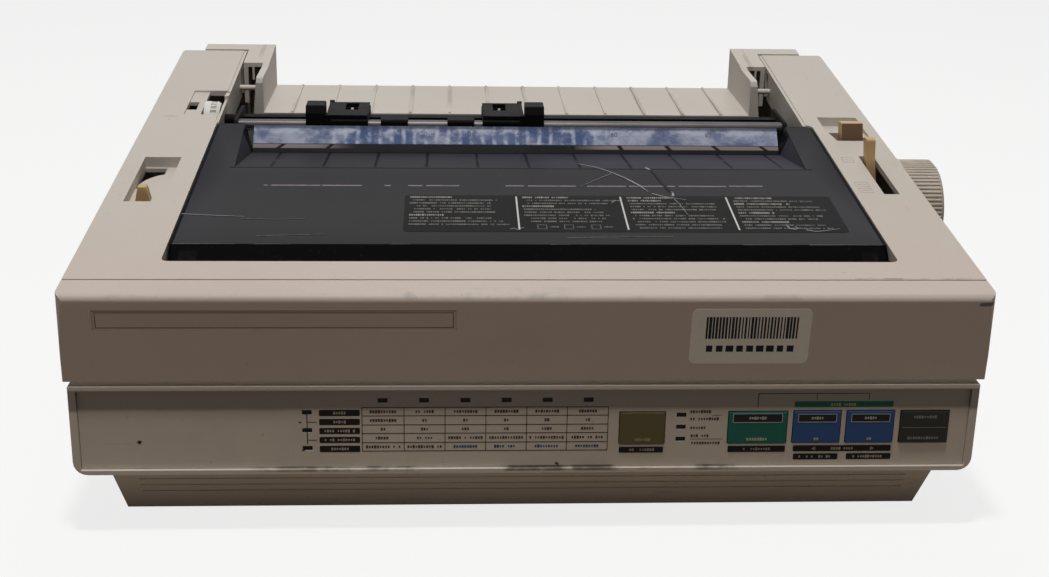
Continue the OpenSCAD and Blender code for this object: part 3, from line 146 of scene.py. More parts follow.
class Finish:
    """The nodes of a new material, or of the world. Every node comes from node()."""

    def __init__(self, name, world=None):
        self.holder = world or bpy.data.materials.new(name)
        self.holder.use_nodes = True
        self.tree = self.holder.node_tree
        self.tree.nodes.clear()

    def node(self, kind, settings=None, inputs=None, output=0):
        made = self.tree.nodes.new(kind)
        for key, value in (settings or {}).items():
            setattr(made, key, value)
        for key, value in (inputs or {}).items():
            if isinstance(value, Wire):
                self.tree.links.new(value.socket, made.inputs[key])
            elif value is not None:
                made.inputs[key].default_value = value
        return Wire(self, made.outputs[output])

    def place(self, scale=(1, 1, 1), turn=(0, 0, 0)):
        """Object coordinates, stretched and turned."""
        point = self.node("ShaderNodeTexCoord", output="Object")
        return self.node("ShaderNodeMapping", {"vector_type": "POINT"},
                         {"Vector": point, "Scale": scale, "Rotation": turn})

    def spot(self):
        """A point's place on the printer in millimetres: across, back and up."""
        point = self.node("ShaderNodeTexCoord", output="Object")
        x, y, z = (self.node("ShaderNodeSeparateXYZ", None, {"Vector": point}, output=axis)*1000
                   for axis in "XYZ")
        return x + SEAT_X, y + SEAT_Y, z

    def ray(self, kind):
        """1 for light of that kind, 0 for any other."""
        return self.node("ShaderNodeLightPath", output=f"Is {kind} Ray")

    def noise(self, scale, detail=2.0, rough=0.5, vector=None):
        return self.node("ShaderNodeTexNoise", None, {"Vector": vector or self.place(), "Scale": scale,
                                                      "Detail": detail, "Roughness": rough})

    def step(self, value, low, high):
        """0 below low and 1 above high, smooth between."""
        return self.node("ShaderNodeMapRange", {"interpolation_type": "SMOOTHSTEP"},
                         {"Value": value, "From Min": low, "From Max": high})

    def between(self, value, low, high, soft):
        """1 from low to high, fading out over soft on either side."""
        return self.step(value, low - soft, low)*(1 - self.step(value, high, high + soft))

    def mix(self, factor, one, other):
        return self.node("ShaderNodeMix", {"data_type": "RGBA"}, {0: factor, 6: one, 7: other}, output=2)

    def bump(self, height, distance, strength, under=None):
        return self.node("ShaderNodeBump", None, {"Height": height, "Distance": distance,
                                                  "Strength": strength, "Normal": under})

    def surface(self, **sockets):
        """A Principled surface; names are its sockets, with _ for a space."""
        return self.node("ShaderNodeBsdfPrincipled", None,
                         {key.replace("_", " "): value for key, value in sockets.items()})

    def done(self, surface=None, **sockets):
        """The finish, from a surface or from a Principled one's sockets."""
        self.lay(surface or self.surface(**sockets), "ShaderNodeOutputMaterial")
        return self.holder

    def lay(self, surface, kind):
        out = self.tree.nodes.new(kind)
        self.tree.links.new(surface.socket, out.inputs["Surface"])


# The printer is measured from the middle and front of its case; the row measures from these.
SEAT_X, SEAT_Y = 12.75, 169.5


def shade(red, green, blue):
    """A colour read off a paint card, 0 to 255, as the shader wants it."""
    return tuple((c/255/12.92 if c <= 10 else ((c/255 + 0.055)/1.055)**2.4)
                 for c in (red, green, blue)) + (1,)


def floor_paint():
    paint = Finish("floor_paint")
    seen = paint.ray("Camera")
    tone = paint.mix(seen.most(paint.ray("Glossy")), shade(138, 119, 98), shade(252, 252, 252))
    tone = paint.mix(paint.noise(3.0)*0.06, tone, shade(236, 236, 235))
    glow = paint.node("ShaderNodeEmission", None, {"Color": (1, 1, 1, 1), "Strength": 1.0})
    matt = paint.node("ShaderNodeBsdfDiffuse", None, {"Color": tone})
    return paint.done(paint.node("ShaderNodeMixShader", None, {0: seen*0.8, 1: matt, 2: glow}))


floor_mesh = bpy.data.meshes.new("floor")
floor_mesh.from_pydata([(-6, -4, 0), (6, -4, 0), (6, 9, 0), (-6, 9, 0)], [], [(0, 1, 2, 3)])
floor_mesh.materials.append(floor_paint())
floor = placed("floor", floor_mesh)

world = bpy.data.worlds.new("room")
bpy.context.scene.world = world
room = Finish("room", world)
seen = room.ray("Camera").most(room.ray("Transmission")).most(room.ray("Glossy"))
level = room.node("ShaderNodeMapRange", None, {"Value": seen, "To Min": 0.11, "To Max": 1.0})
room.lay(room.node("ShaderNodeBackground", None, {"Color": (1, 1, 1, 1), "Strength": level}),
         "ShaderNodeOutputWorld")

# ------------------------------------------------------------------ lower case
# The tray that everything stands in: injection-moulded beige plastic with a fine spark-eroded
# grain, gone a little yellow, on four rubber feet. Four screws come up into the upper case.

BEIGE = (203, 195, 186)
BEIGE_OLD = (197, 187, 174)


def case_plastic(name, tone=BEIGE, old_tone=BEIGE_OLD, grime=1.0, stain=None):
    """Aged beige moulding: fine grain, yellowing, smears, scuffs and specks of dirt."""
    paint = Finish(name)
    age = paint.noise(5.0, 3.0, 0.55)
    colour = paint.mix(paint.step(age, 0.35, 0.7), shade(*tone), shade(*old_tone))
    smear = paint.noise(14.0, 5.0, 0.6, paint.place((1, 0.5, 1.6)))
    colour = paint.mix(paint.step(smear, 0.54, 0.80)*0.32*grime, colour, shade(164, 152, 136))
    speck = paint.noise(420.0, 2.0, 0.5)
    colour = paint.mix(paint.step(speck, 0.735, 0.77)*0.5*grime, colour, shade(112, 100, 84))
    scuff = paint.noise(60.0, 4.0, 0.6, paint.place((0.35, 1, 2.6), (0.2, 0.1, 0.35)))
    colour = paint.mix(paint.step(scuff, 0.71, 0.77)*0.3*grime, colour, shade(110, 100, 90))
    if stain:
        colour = stain(paint, colour)
    grain = paint.noise(1500.0, 2.0, 0.6)
    normal = paint.bump(grain, 0.00012, 0.5, paint.bump(paint.noise(9.0, 1.0), 0.0025, 0.25))
    return paint.done(Base_Color=colour, Roughness=0.42 + 0.12*smear + 0.05*grain, Normal=normal,
                      Specular_IOR_Level=0.4)


def rubber(name, tone=(38, 37, 36)):
    """Moulded rubber with dust in its grain."""
    paint = Finish(name)
    dust = paint.noise(40.0, 4.0, 0.6)
    colour = paint.mix(paint.step(dust, 0.5, 0.8)*0.4, shade(*tone), shade(78, 74, 70))
    return paint.done(Base_Color=colour, Roughness=0.78 + 0.1*dust,
                      Normal=paint.bump(paint.noise(900.0, 2.0), 0.0001, 0.5))


def metal(name, tone=(190, 190, 192), rough=0.28, brush=(1, 60, 60)):
    """Bright or plated metal with drawn lines along one direction and faint tarnish."""
    paint = Finish(name)
    lines = paint.noise(120.0, 3.0, 0.6, paint.place(brush))
    dull = paint.noise(25.0, 3.0, 0.6)
    tarnish = shade(*[c*0.72 for c in tone])
    colour = paint.mix(paint.step(dull, 0.45, 0.8)*0.35, shade(*tone), tarnish)
    return paint.done(Base_Color=colour, Metallic=1.0, Roughness=rough + 0.14*lines + 0.1*dull,
                      Normal=paint.bump(lines, 0.00005, 0.3))


def solid(name, mesh, finish):
    """An object at the origin around a finished mesh."""
    mesh.name = name
    mesh.materials.clear()
    mesh.materials.append(finish)
    return placed(name, mesh)


def settled(raw):
    """The finished mesh of an object, which is thrown away itself."""
    mesh = bpy.data.meshes.new_from_object(raw.evaluated_get(bpy.context.evaluated_depsgraph_get()))
    bpy.data.objects.remove(raw)
    return mesh


WELD = 4e-6               # corners closer than this are one


def dress(name, finish, bevel, steps=2):
    """A copy of a node's solid with its triangles merged and its edges rounded, in its place."""
    mesh = nodes[name].data.copy()
    work = bmesh.new()
    work.from_mesh(mesh)
    bmesh.ops.remove_doubles(work, verts=work.verts, dist=WELD)
    bmesh.ops.dissolve_degenerate(work, dist=WELD, edges=work.edges)
    bmesh.ops.dissolve_limit(work, angle_limit=math.radians(0.6), verts=work.verts, edges=work.edges)
    work.to_mesh(mesh)
    work.free()
    raw = placed(name + "_raw", mesh)
    edge = raw.modifiers.new("edge", "BEVEL")
    edge.width, edge.segments = bevel, steps
    edge.limit_method, edge.angle_limit = "ANGLE", math.radians(32)
    edge.use_clamp_overlap = True
    flat = raw.modifiers.new("flat", "WEIGHTED_NORMAL")
    flat.keep_sharp = True
    mesh.shade_smooth()
    mesh.set_sharp_from_angle(angle=math.radians(50))
    piece = solid(name + "_moulded", settled(raw), finish)
    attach(piece, nodes[name]["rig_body"])
    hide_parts(name)
    return piece


def coat(finish, *names):
    """Gives nodes that stay as they are their finish."""
    for name in names:
        for slot in nodes[name].material_slots:
            slot.material = finish


def panel_marks(paint, colour):
    """A painted shadow in a band under the seam, a line of dirt along the panel's foot and a paler patch."""
    across, back, height = paint.spot()
    cloud = paint.noise(30.0, 4.0, 0.65)
    front = 1 - paint.step(back, 6.4, 6.8)
    # painted shadow: the band under the seam is darkened where the upper case shades the panel
    under = paint.step(height + (cloud - 0.5)*1.5, 56.2, 58.6)*paint.step(67.5 - height, 0, 0.6)
    under = under*front*paint.between(across, -194.5, 194.5, 0.5)
    colour = paint.mix(under*0.85, colour, shade(112, 102, 92))
    foot = paint.between(height, 29.2, 30.6, 0.5)*paint.between(across, -100, 80, 25)
    colour = paint.mix(foot*paint.step(cloud, 0.46, 0.6)*0.8, colour, shade(64, 46, 38))
    pale = paint.between(across, -190, -60, 30)*paint.between(height, 32, 50, 7)
    pale = pale*paint.step(cloud, 0.4, 0.66)
    return paint.mix(pale*front*0.3, colour, shade(226, 216, 200))


# painted light: the lower case is a lighter beige than the upper case, for the light on its front
dress("lower_case", case_plastic("beige_lower_plastic", (211, 203, 193), (205, 194, 180),
                                         stain=panel_marks), 0.0006)
foot_rubber = rubber("foot_rubber")
dress("rubber_feet", foot_rubber, 0.0004)
bright_steel = metal("bright_steel")
coat(bright_steel, "case_screws")

# ------------------------------------------------------------------ frames, boards and motors
# Two sheet-steel side frames stand in the tray and carry the works, black as painted shade. The
# boards, the mains transformer and the two stepping motors are screwed to the tray and the frames.


def tinted_plastic(name, tone=(22, 22, 23), rough=0.42, dusty=0.10, shine=0.2):
    """Coloured or black moulding with a fine grain and dust lying on it."""
    paint = Finish(name)
    dust = paint.noise(55.0, 5.0, 0.65)
    rub = paint.noise(230.0, 3.0, 0.6)
    colour = paint.mix(paint.step(dust, 0.5, 0.85)*dusty, shade(*tone), shade(116, 112, 104))
    colour = paint.mix(paint.step(rub, 0.62, 0.78)*0.04, colour, shade(150, 146, 138))
    return paint.done(Base_Color=colour, Roughness=rough + 0.22*dust, Specular_IOR_Level=shine,
                      Normal=paint.bump(paint.noise(1300.0, 2.0, 0.6), 0.0001, 0.5))


# the frames are coloured black as painted shade inside the printer
frame_shade_black = tinted_plastic("frame_painted_shade", (13, 13, 14), 0.55, 0.06, 0.06)
coat(frame_shade_black, "left_side_frame", "right_side_frame")
coat(tinted_plastic("board_lacquer", (38, 88, 58), 0.3), "main_board", "panel_board")
coat(tinted_plastic("transformer_lacquer", (84, 72, 58), 0.5, 0.3), "transformer")
coat(tinted_plastic("motor_paint", (40, 40, 42), 0.35), "feed_motor", "carriage_motor")
coat(metal("turned_brass", (200, 168, 90), 0.3), "feed_pinion")

# ------------------------------------------------------------------ platen and its gears
# A steel shaft through both frames carries the hard rubber roller and, at its left end, the first
# of a train of white acetal gears that also turns the tractors.

roller_rubber = rubber("roller_rubber", (30, 29, 30))
coat(roller_rubber, "platen_roller")
coat(bright_steel, "platen_shaft")
gear_plastic = case_plastic("acetal_gear", (226, 224, 217), (214, 208, 195), 0.5)
coat(gear_plastic, "platen_gear", "idler_gear_a", "idler_gear_b")

# ------------------------------------------------------------------ carriage
# The print head rides on two bright rods, drawn along by a toothed belt between two pulleys. The
# ribbon cartridge clips on in front of the head.

black = tinted_plastic("black_plastic")
coat(bright_steel, "carriage_rods", "drive_pulley")
coat(rubber("belt_rubber", (26, 26, 26)), "drive_belt")
coat(black, "idler_pulley")
dress("carriage", black, 0.0004)
dress("print_head", metal("black_anodised", (46, 46, 50), 0.36, (30, 1, 30)), 0.0003)
dress("ribbon_cartridge", tinted_plastic("cartridge_plastic", (26, 26, 29), 0.3, 0.1), 0.0012, 3)

# ------------------------------------------------------------------ tractors
# Two black tractors pull the paper's holes on white pin wheels. They slide on a bright round rod
# and are driven by the dark square shaft behind it. Two small supports slide between them.


def oiled_rod():
    """Ground steel with painted light: a painted highlight low on it and painted shade over its top."""
    rod = Finish("oiled_rod")
    _, _, height = rod.spot()
    blotch = rod.noise(70.0, 3.0, 0.6, rod.place((0.5, 1, 1)))
    # painted shade over the rod's top half, a painted highlight under it
    dull = rod.step(height + (blotch - 0.5)*0.5, 126.3, 127.1)
    tone = rod.mix(blotch, shade(62, 60, 61), shade(92, 88, 88))
    return rod.done(Base_Color=rod.mix(dull, shade(228, 222, 218), tone), Metallic=1.0,
                    Roughness=0.2 + 0.15*blotch + 0.15*dull)


coat(oiled_rod(), "tractor_rod")
coat(tinted_plastic("blackened_shaft", (13, 13, 14), 0.5, 0.05, 0.05), "tractor_shaft")
tractor_plastic = tinted_plastic("tractor_plastic", (17, 17, 19), 0.4, 0.03, 0.03)
for side in ("left", "right"):
    for part, edge in (("_tractor", 0.0004), ("_tractor_door", 0.0003), ("_tractor_lock", 0.0006),
                       ("_paper_support", 0.0005)):
        dress(side + part, tractor_plastic, edge)
coat(gear_plastic, "left_pin_wheel", "right_pin_wheel")
coat(case_plastic("bare_white_gear", (232, 231, 226), (220, 217, 208), 0.25), "tractor_gear")

# ------------------------------------------------------------------ paper chute and paper guide
# The black chute leads fan-fold paper under the platen. Above it the ribbed beige guide hangs on
# two pins in the case's towers and tips back.

coat(black, "paper_chute")
RIB_PITCH = 22.7


def rib_dirt(paint, colour):
    """Grey patchy lines along the guide's ribs: painted shade of the ribs."""
    across, _, _ = paint.spot()
    beside = 1 - paint.step((across - RIB_PITCH/2).near(RIB_PITCH), 0.9, 1.9)
    patchy = paint.step(paint.noise(70.0, 3.0, 0.6, paint.place((1, 0.3, 1))), 0.42, 0.62)
    floor = 1 - paint.step(across.size(), 149, 151)
    # painted shade along each rib
    return paint.mix(beside*patchy*0.35*floor, colour, shade(120, 110, 100))


dress("paper_guide", case_plastic("beige_guide_plastic", (206, 199, 190), (200, 191, 179), 0.8,
                                          rib_dirt), 0.0005)

# ------------------------------------------------------------------ upper case and levers
# The big beige frame over the works, with towers at the rear, finger pockets and the recess for
# the name plate, left bare. Three tan levers stand in its slots.

DECK_Z, DECK_RISE = 111, 0.1     # the top slopes up from its front edge


def handling_marks(paint, colour):
    """A warm front with a greenish smudge, a chip at its right end and dirt along the seam."""
    across, back, height = paint.spot()
    cloud = paint.noise(34.0, 4.0, 0.65)
    colour = paint.mix((1 - paint.step(back, -10, 130))*0.6, colour, shade(207, 189, 179))
    smudge = paint.between(across, -72, 4, 18)*paint.between(back, 2.5, 7, 3)
    smudge = smudge*paint.step(cloud, 0.48, 0.62)*paint.step(height, 109.2, 110.6)
    colour = paint.mix(smudge*0.42, colour, shade(124, 150, 142))
    dirt = paint.noise(120.0, 3.0, 0.7)
    edge = 107.4 + (dirt - 0.5)*1.8
    chip = paint.between(across + (dirt - 0.5)*4, 187.5, 198, 1.0)
    chip = chip*paint.between(height, edge - 0.7, edge + 0.6, 0.5)*(1 - paint.step(back, 3, 5))
    colour = paint.mix(chip*0.9, colour, shade(40, 34, 30))
    seam = paint.between(back, 16.3, 17.0, 0.3)*paint.step(height, 111.8, 112.2)
    dirty = paint.between(across, 139, 167, 5).most(paint.between(across, 176, 191, 3))
    colour = paint.mix(seam*dirty*paint.step(dirt, 0.36, 0.6)*0.6, colour, shade(72, 56, 46))
    line = paint.between(back, -0.5, 1.8, 0.6)*paint.between(height, 109.4, 111.0, 0.4)
    colour = paint.mix(line*paint.step(cloud, 0.5, 0.62)*0.2, colour, shade(120, 108, 96))
    low = paint.between(across, 96, 190, 10)*paint.between(height, 74, 90, 6)*(1 - paint.step(back, 6, 9))
    return paint.mix(low*paint.step(cloud, 0.58, 0.72)*0.25, colour, shade(128, 118, 106))


dress("upper_case", case_plastic("beige_top_plastic", stain=handling_marks), 0.0006)


def lever_dirt(paint, colour):
    """Browner low on the levers near the deck, and painted shade on the fronts of the two at the right."""
    across, back, height = paint.spot()
    low = 1 - paint.step(height - DECK_Z - DECK_RISE*back, -3.0, 3.0)
    colour = paint.mix(low*0.5, colour, shade(120, 84, 50))
    # painted shade on the faces that turn to the front, deepest on the feed lever
    normal = paint.node("ShaderNodeNewGeometry", output="Normal")
    facing = paint.node("ShaderNodeSeparateXYZ", None, {"Vector": normal}, output="Y")
    front = paint.step(facing, -0.55, -0.9)*paint.step(across, 0, 1)
    colour = paint.mix(front*0.35, colour, shade(128, 86, 50))
    feed = front*paint.step(across, 172, 174)*paint.step(back, 178, 181)
    return paint.mix(feed*0.9, colour, shade(74, 46, 24))


tan = case_plastic("tan_lever_plastic", (204, 174, 126), (192, 156, 104), 0.9, lever_dirt)
for lever in ("thickness_lever", "release_lever", "feed_lever"):
    dress(lever, tan, 0.0006, 3)

# ------------------------------------------------------------------ control panel
# A separate moulding let into the front of the tray. Its table, captions and lines are screen
# printed; captions are plain dashes. Twelve small lamps stand behind dark windows.


def row_tree():
    """Nodes for marks in a row: some are left out, the others differ a little in width and height."""
    tree = bpy.data.node_groups.new("row_of_marks", "GeometryNodeTree")
    tree.interface.new_socket("Marks", in_out="OUTPUT", socket_type="NodeSocketGeometry")
    kinds = {"Count": "Int", "Seed": "Int", "Ink": "Material"}
    for name in ("Count", "Pitch", "Width", "Height", "Thickness", "Narrowest", "Shortest", "Left out",
                 "Seed", "Ink"):
        tree.interface.new_socket(name, in_out="INPUT", socket_type="NodeSocket" + kinds.get(name, "Float"))

    def node(kind, inputs, output=0, **settings):
        made = tree.nodes.new(kind)
        for key, value in settings.items():
            setattr(made, key, value)
        for key, value in inputs.items():
            if hasattr(value, "is_output"):
                tree.links.new(value, made.inputs[key])
            else:
                made.inputs[key].default_value = value
        return made.outputs[output] if made.outputs else None

    given = tree.nodes.new("NodeGroupInput").outputs
    stride = node("ShaderNodeCombineXYZ", {"X": given["Pitch"]})
    places = node("GeometryNodeMeshLine", {"Count": given["Count"], "Offset": stride})
    chance = node("FunctionNodeRandomValue", {2: 0.0, 3: 1.0, "Seed": given["Seed"]}, 1,
                  data_type="FLOAT")
    dropped = node("ShaderNodeMath", {0: chance, 1: given["Left out"]}, operation="LESS_THAN")
    kept = node("GeometryNodeDeleteGeometry", {"Geometry": places, "Selection": dropped}, domain="POINT")
    size = node("ShaderNodeCombineXYZ", {"X": given["Width"], "Y": given["Height"],
                                         "Z": given["Thickness"]})
    mark = node("GeometryNodeMeshCube", {"Size": size})
    wide = node("FunctionNodeRandomValue", {2: given["Narrowest"], 3: 1.0, "Seed": given["Seed"]}, 1,
                data_type="FLOAT")
    tall = node("ShaderNodeMapRange", {"Value": chance, "From Min": given["Left out"],
                                       "To Min": given["Shortest"]})
    scale = node("ShaderNodeCombineXYZ", {"X": wide, "Y": tall, "Z": 1.0})
    rows = node("GeometryNodeInstanceOnPoints", {"Points": kept, "Instance": mark, "Scale": scale})
    real = node("GeometryNodeRealizeInstances", {"Geometry": rows})
    inked = node("GeometryNodeSetMaterial", {"Geometry": real, "Material": given["Ink"]})
    node("NodeGroupOutput", {"Marks": inked})
    return tree


ROW_OF_MARKS = row_tree()


def row(count, pitch, wide, tall, ink, narrowest, left_out=0.0, seed=1, thick=0.06, shortest=1.0):
    """A mesh of marks along X, in millimetres."""
    holder = placed("row", bpy.data.meshes.new("row"))
    modifier = holder.modifiers.new("row", "NODES")
    modifier.node_group = ROW_OF_MARKS
    sizes = {"Pitch": pitch, "Width": wide, "Height": tall, "Thickness": thick,
             "Narrowest": narrowest, "Shortest": shortest, "Left out": left_out}
    values = {name: float(size) for name, size in sizes.items()}
    values.update({"Count": count, "Seed": seed, "Ink": ink})
    for item in ROW_OF_MARKS.interface.items_tree:
        if item.in_out == "INPUT" and values[item.name] is not None:
            modifier[item.identifier] = values[item.name]
    return settled(holder)


class Face:
    """A flat face that print lies on: a corner and two directions along it, in millimetres."""

    def __init__(self, corner, along, across=(1, 0, 0)):
        self.corner, self.across = Vector(corner), Vector(across)
        self.along = Vector(along).normalized()
        self.out = self.across.cross(self.along)

    def point(self, x, y, lift):
        place = self.corner + x*self.across + y*self.along + lift*self.out
        return ((place.x - SEAT_X)/1000, (place.y - SEAT_Y)/1000, place.z/1000)


class Marks:
    """Thin marks on one face, gathered into one mesh."""

    def __init__(self, face, high=0.05, low=-0.02):
        self.face, self.low, self.high, self.points, self.faces = face, low, high, [], []

    def shape(self, outline):
        """A flat shape; its outline runs anticlockwise."""
        n, first = len(outline), len(self.points)
        self.points += [self.face.point(x, y, self.low) for x, y in outline]
        self.points += [self.face.point(x, y, self.high) for x, y in outline]
        self.faces += [tuple(range(first + n, first + 2*n)), tuple(range(first + n - 1, first - 1, -1))]
        self.faces += [(first + i, first + (i + 1) % n, first + n + (i + 1) % n, first + n + i)
                       for i in range(n)]

    def bar(self, x0, x1, y0, y1, r=0.0):
        if not r:
            return self.shape([(x0, y0), (x1, y0), (x1, y1), (x0, y1)])
        arcs = ((x1 - r, y0 + r, -90), (x1 - r, y1 - r, 0), (x0 + r, y1 - r, 90), (x0 + r, y0 + r, 180))
        places = [(x, y, math.radians(start + 90*i/4)) for x, y, start in arcs for i in range(5)]
        self.shape([(x + r*math.cos(a), y + r*math.sin(a)) for x, y, a in places])

    def line(self, points, wide, narrow):
        """A stroke along points, wide at its start and narrow at its end."""
        for i, (a, b) in enumerate(zip(points, points[1:])):
            a, b = Vector(a), Vector(b)
            side = Vector((a.y - b.y, b.x - a.x)).normalized()/2
            w0, w1 = (wide + (narrow - wide)*j/(len(points) - 1) for j in (i, i + 1))
            self.shape([tuple(p) for p in (a - side*w0, b - side*w1, b + side*w1, a + side*w0)])

    def frame(self, x0, x1, y0, y1, wide):
        self.bar(x0, x1, y0, y0 + wide)
        self.bar(x0, x1, y1 - wide, y1)
        self.bar(x0, x0 + wide, y0 + wide, y1 - wide)
        self.bar(x1 - wide, x1, y0 + wide, y1 - wide)

    def take(self, mesh, x, y, lift=0.0):
        """Adds a finished mesh whose own origin goes to x, y."""
        first = len(self.points)
        self.points += [self.face.point(x + v.co.x, y + v.co.y, lift + v.co.z) for v in mesh.vertices]
        self.faces += [tuple(first + i for i in p.vertices) for p in mesh.polygons]
        bpy.data.meshes.remove(mesh)

    def words(self, x0, x1, y, tall, seed, pitch, left_out):
        """A caption as a row of small dashes between x0 and x1."""
        count = max(1, int((x1 - x0)/pitch))
        dashes = row(count, pitch, pitch*0.86, tall, None, narrowest=0.62, left_out=left_out, seed=seed,
                     thick=self.high - self.low, shortest=0.6)
        self.take(dashes, x0 + (x1 - x0 - (count - 1)*pitch)/2, y, (self.high + self.low)/2)

    def blot(self, x, y, r, seed):
        """A small ragged chip or speck."""
        dice = random.Random(seed)
        self.shape([(x + r*dice.uniform(0.5, 1.3)*math.cos(a), y + r*dice.uniform(0.4, 0.9)*math.sin(a))
                    for a in (math.tau*i/9 for i in range(9))])

    def piece(self, name, ink, body, slot=None):
        mesh = bpy.data.meshes.new(name)
        mesh.from_pydata(self.points, [], self.faces)
        made = solid(name, mesh, ink)
        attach(made, body)
        return made


def printed(name, tone, worn=0.3, under=None, rough=0.45):
    """Screen ink, thin in places, so that what it was printed on shows through."""
    ink = Finish(name)
    patchy = ink.noise(260.0, 3.0, 0.6)
    under = under or tuple(min(255, c + 26) for c in tone)
    colour = ink.mix(ink.step(patchy, 0.45, 0.8)*worn, shade(*tone), shade(*under))
    return ink.done(Base_Color=colour, Roughness=rough + 0.15*patchy, Specular_IOR_Level=0.08)


# painted light: the panel too is a lighter beige than the upper case, for the light on it
panel_plastic = case_plastic("panel_plastic", (214, 205, 192), (206, 195, 180), 0.7, panel_marks)
panel = dress("control_panel", panel_plastic, 0.0002)
dress("indicator_lamps", tinted_plastic("lamp_window", (12, 10, 10), 0.3, 0.03, 0.1), 0.0002)
PANEL_Y = 6
PANEL = Face((0, PANEL_Y, 0), (0, 0, 1))
HALF_LINE = 0.16
panel_ink = printed("panel_black", (26, 24, 23), 0.2, (60, 55, 50))
black_print = Marks(PANEL)
TABLE_X = (-71.4, -53.6, -36.2, -18.8, -1.4, 15.9, 33.5)
TABLE_Z = (58.3, 54.4, 50.2, 46.2, 41.9, 37.9)
for x in TABLE_X:
    black_print.bar(x - HALF_LINE, x + HALF_LINE, TABLE_Z[-1], TABLE_Z[0])
for z in TABLE_Z:
    black_print.bar(TABLE_X[0], TABLE_X[-1], z - HALF_LINE, z + HALF_LINE)
LABEL_BARS = ((57.3, 54.4), (53.1, 50.2), (48.9, 46.0), (44.7, 41.8), (40.5, 37.5))
for top, low in LABEL_BARS:
    black_print.bar(-89.5, -72.3, low, top, 0.5)
# the branching line from the lamps to the bars
black_print.bar(-94.8, -94.4, 41.5, 55.5)
for z in (51.6, 43.2):
    black_print.bar(-94.6, -90.6, z - 0.15, z + 0.15)
# bars under and over the keys, and the bracket over them
for x0, x1, z0, z1 in ((38.6, 57.8, 36.5, 39.3), (85.9, 111, 36.5, 39.5), (114.5, 157.5, 36.7, 39.6),
                       (114.8, 134.4, 32.8, 35.7), (138.1, 157.8, 32.8, 35.7)):
    black_print.bar(x0, x1, z0, z1, 0.5)
black_print.bar(97.7, 146.2, 64.05, 64.35)
for x, foot in ((97.9, 57.6), (123.3, 61.2), (146, 61.2)):
    black_print.bar(x - 0.15, x + 0.15, foot, 64.1)
black_print.piece("panel_black_print", panel_ink, "case")

dark_caption = printed("panel_dark_caption", (72, 66, 60), 0.3, (140, 132, 120))
captions = Marks(PANEL)
CELL_WORDS = ((12, 9, 11, 11, 11, 9), (12, 3, 3, 3, 3, 3), (3, 4, 4, 3, 5, 6), (7, 7, 15, 15, 15, 14),
              (15, 15, 0, 0, 0, 0))
for line, widths in enumerate(CELL_WORDS):
    for column, wide in enumerate(widths):
        if wide:
            middle = (TABLE_X[column] + TABLE_X[column + 1])/2
            captions.words(middle - wide/2, middle + wide/2, (TABLE_Z[line] + TABLE_Z[line + 1])/2, 1.5,
                           10*line + column, 1.15, 0.1)
for x0, x1, z, seed in ((68.5, 78, 55.8, 71), (68.7, 81.4, 52.4, 72), (68.9, 76, 48.2, 73),
                        (69.1, 77.6, 44.4, 74), (69.3, 82.8, 41.0, 75)):
    captions.words(x0, x1, z, 1.5, seed, 1.15, 0.08)
captions.bar(78.5, 82.8, 54.0, 54.2)
captions.bar(69.2, 83.4, 42.75, 42.95)
captions.piece("panel_captions", dark_caption, "case")
blue_caption = Marks(PANEL)
for column in (2, 3, 4, 5):
    middle = (TABLE_X[column] + TABLE_X[column + 1])/2
    blue_caption.words(middle - 5.5, middle + 5.5, (TABLE_Z[4] + TABLE_Z[5])/2, 1.5, 90 + column, 1.15, 0.08)
blue_caption.piece("panel_blue_captions", printed("panel_blue_caption", (58, 84, 122)), "case")
pale_caption = printed("panel_pale_caption", (176, 168, 154), 0.35, (110, 104, 96))
on_bars = Marks(PANEL, 0.08, 0.04)
for (top, low), wide, seed in zip(LABEL_BARS, (6.5, 6.5, 14, 14, 8), range(40, 45)):
    on_bars.words(-80.9 - wide/2, -80.9 + wide/2, (top + low)/2, 1.4, seed, 1.1, 0.08)
for x0, x1, z, seed in ((43, 54, 37.9, 51), (92, 105, 38, 52), (131, 141, 38.1, 53), (117, 132.5, 34.2, 54),
                        (140.5, 155.5, 34.2, 55), (129, 141, 59, 56)):
    on_bars.words(x0, x1, z, 1.4, seed, 1.1, 0.12)
on_bars.shape([(122.5, 38.1), (124.3, 37.2), (124.3, 39.0)])
on_bars.shape([(150.2, 38.1), (148.4, 39.0), (148.4, 37.2)])
on_bars.piece("panel_pale_captions", pale_caption, "case")
teal_bar = Marks(PANEL)
teal_bar.bar(113.8, 156.8, 57.8, 60.5, 0.4)
teal_bar.piece("panel_teal_bar", printed("panel_teal", (30, 92, 78)), "case")
specks = Marks(PANEL)
for x, z, r, seed in ((-165.2, 42.6, 1.2, 1), (-97.6, 51.6, 0.6, 2), (-96.3, 38.6, 0.8, 3),
                      (12, 31.6, 0.9, 4)):
    specks.blot(x, z, r, seed)
specks.piece("panel_chips", printed("panel_chip", (52, 46, 40)), "case")

# ------------------------------------------------------------------ keys
# Five moulded keys of clear coloured plastic over a rubber mat; each presses in on its own. Their
# captions are plain dashes in a framed dark inset or straight on the colour.

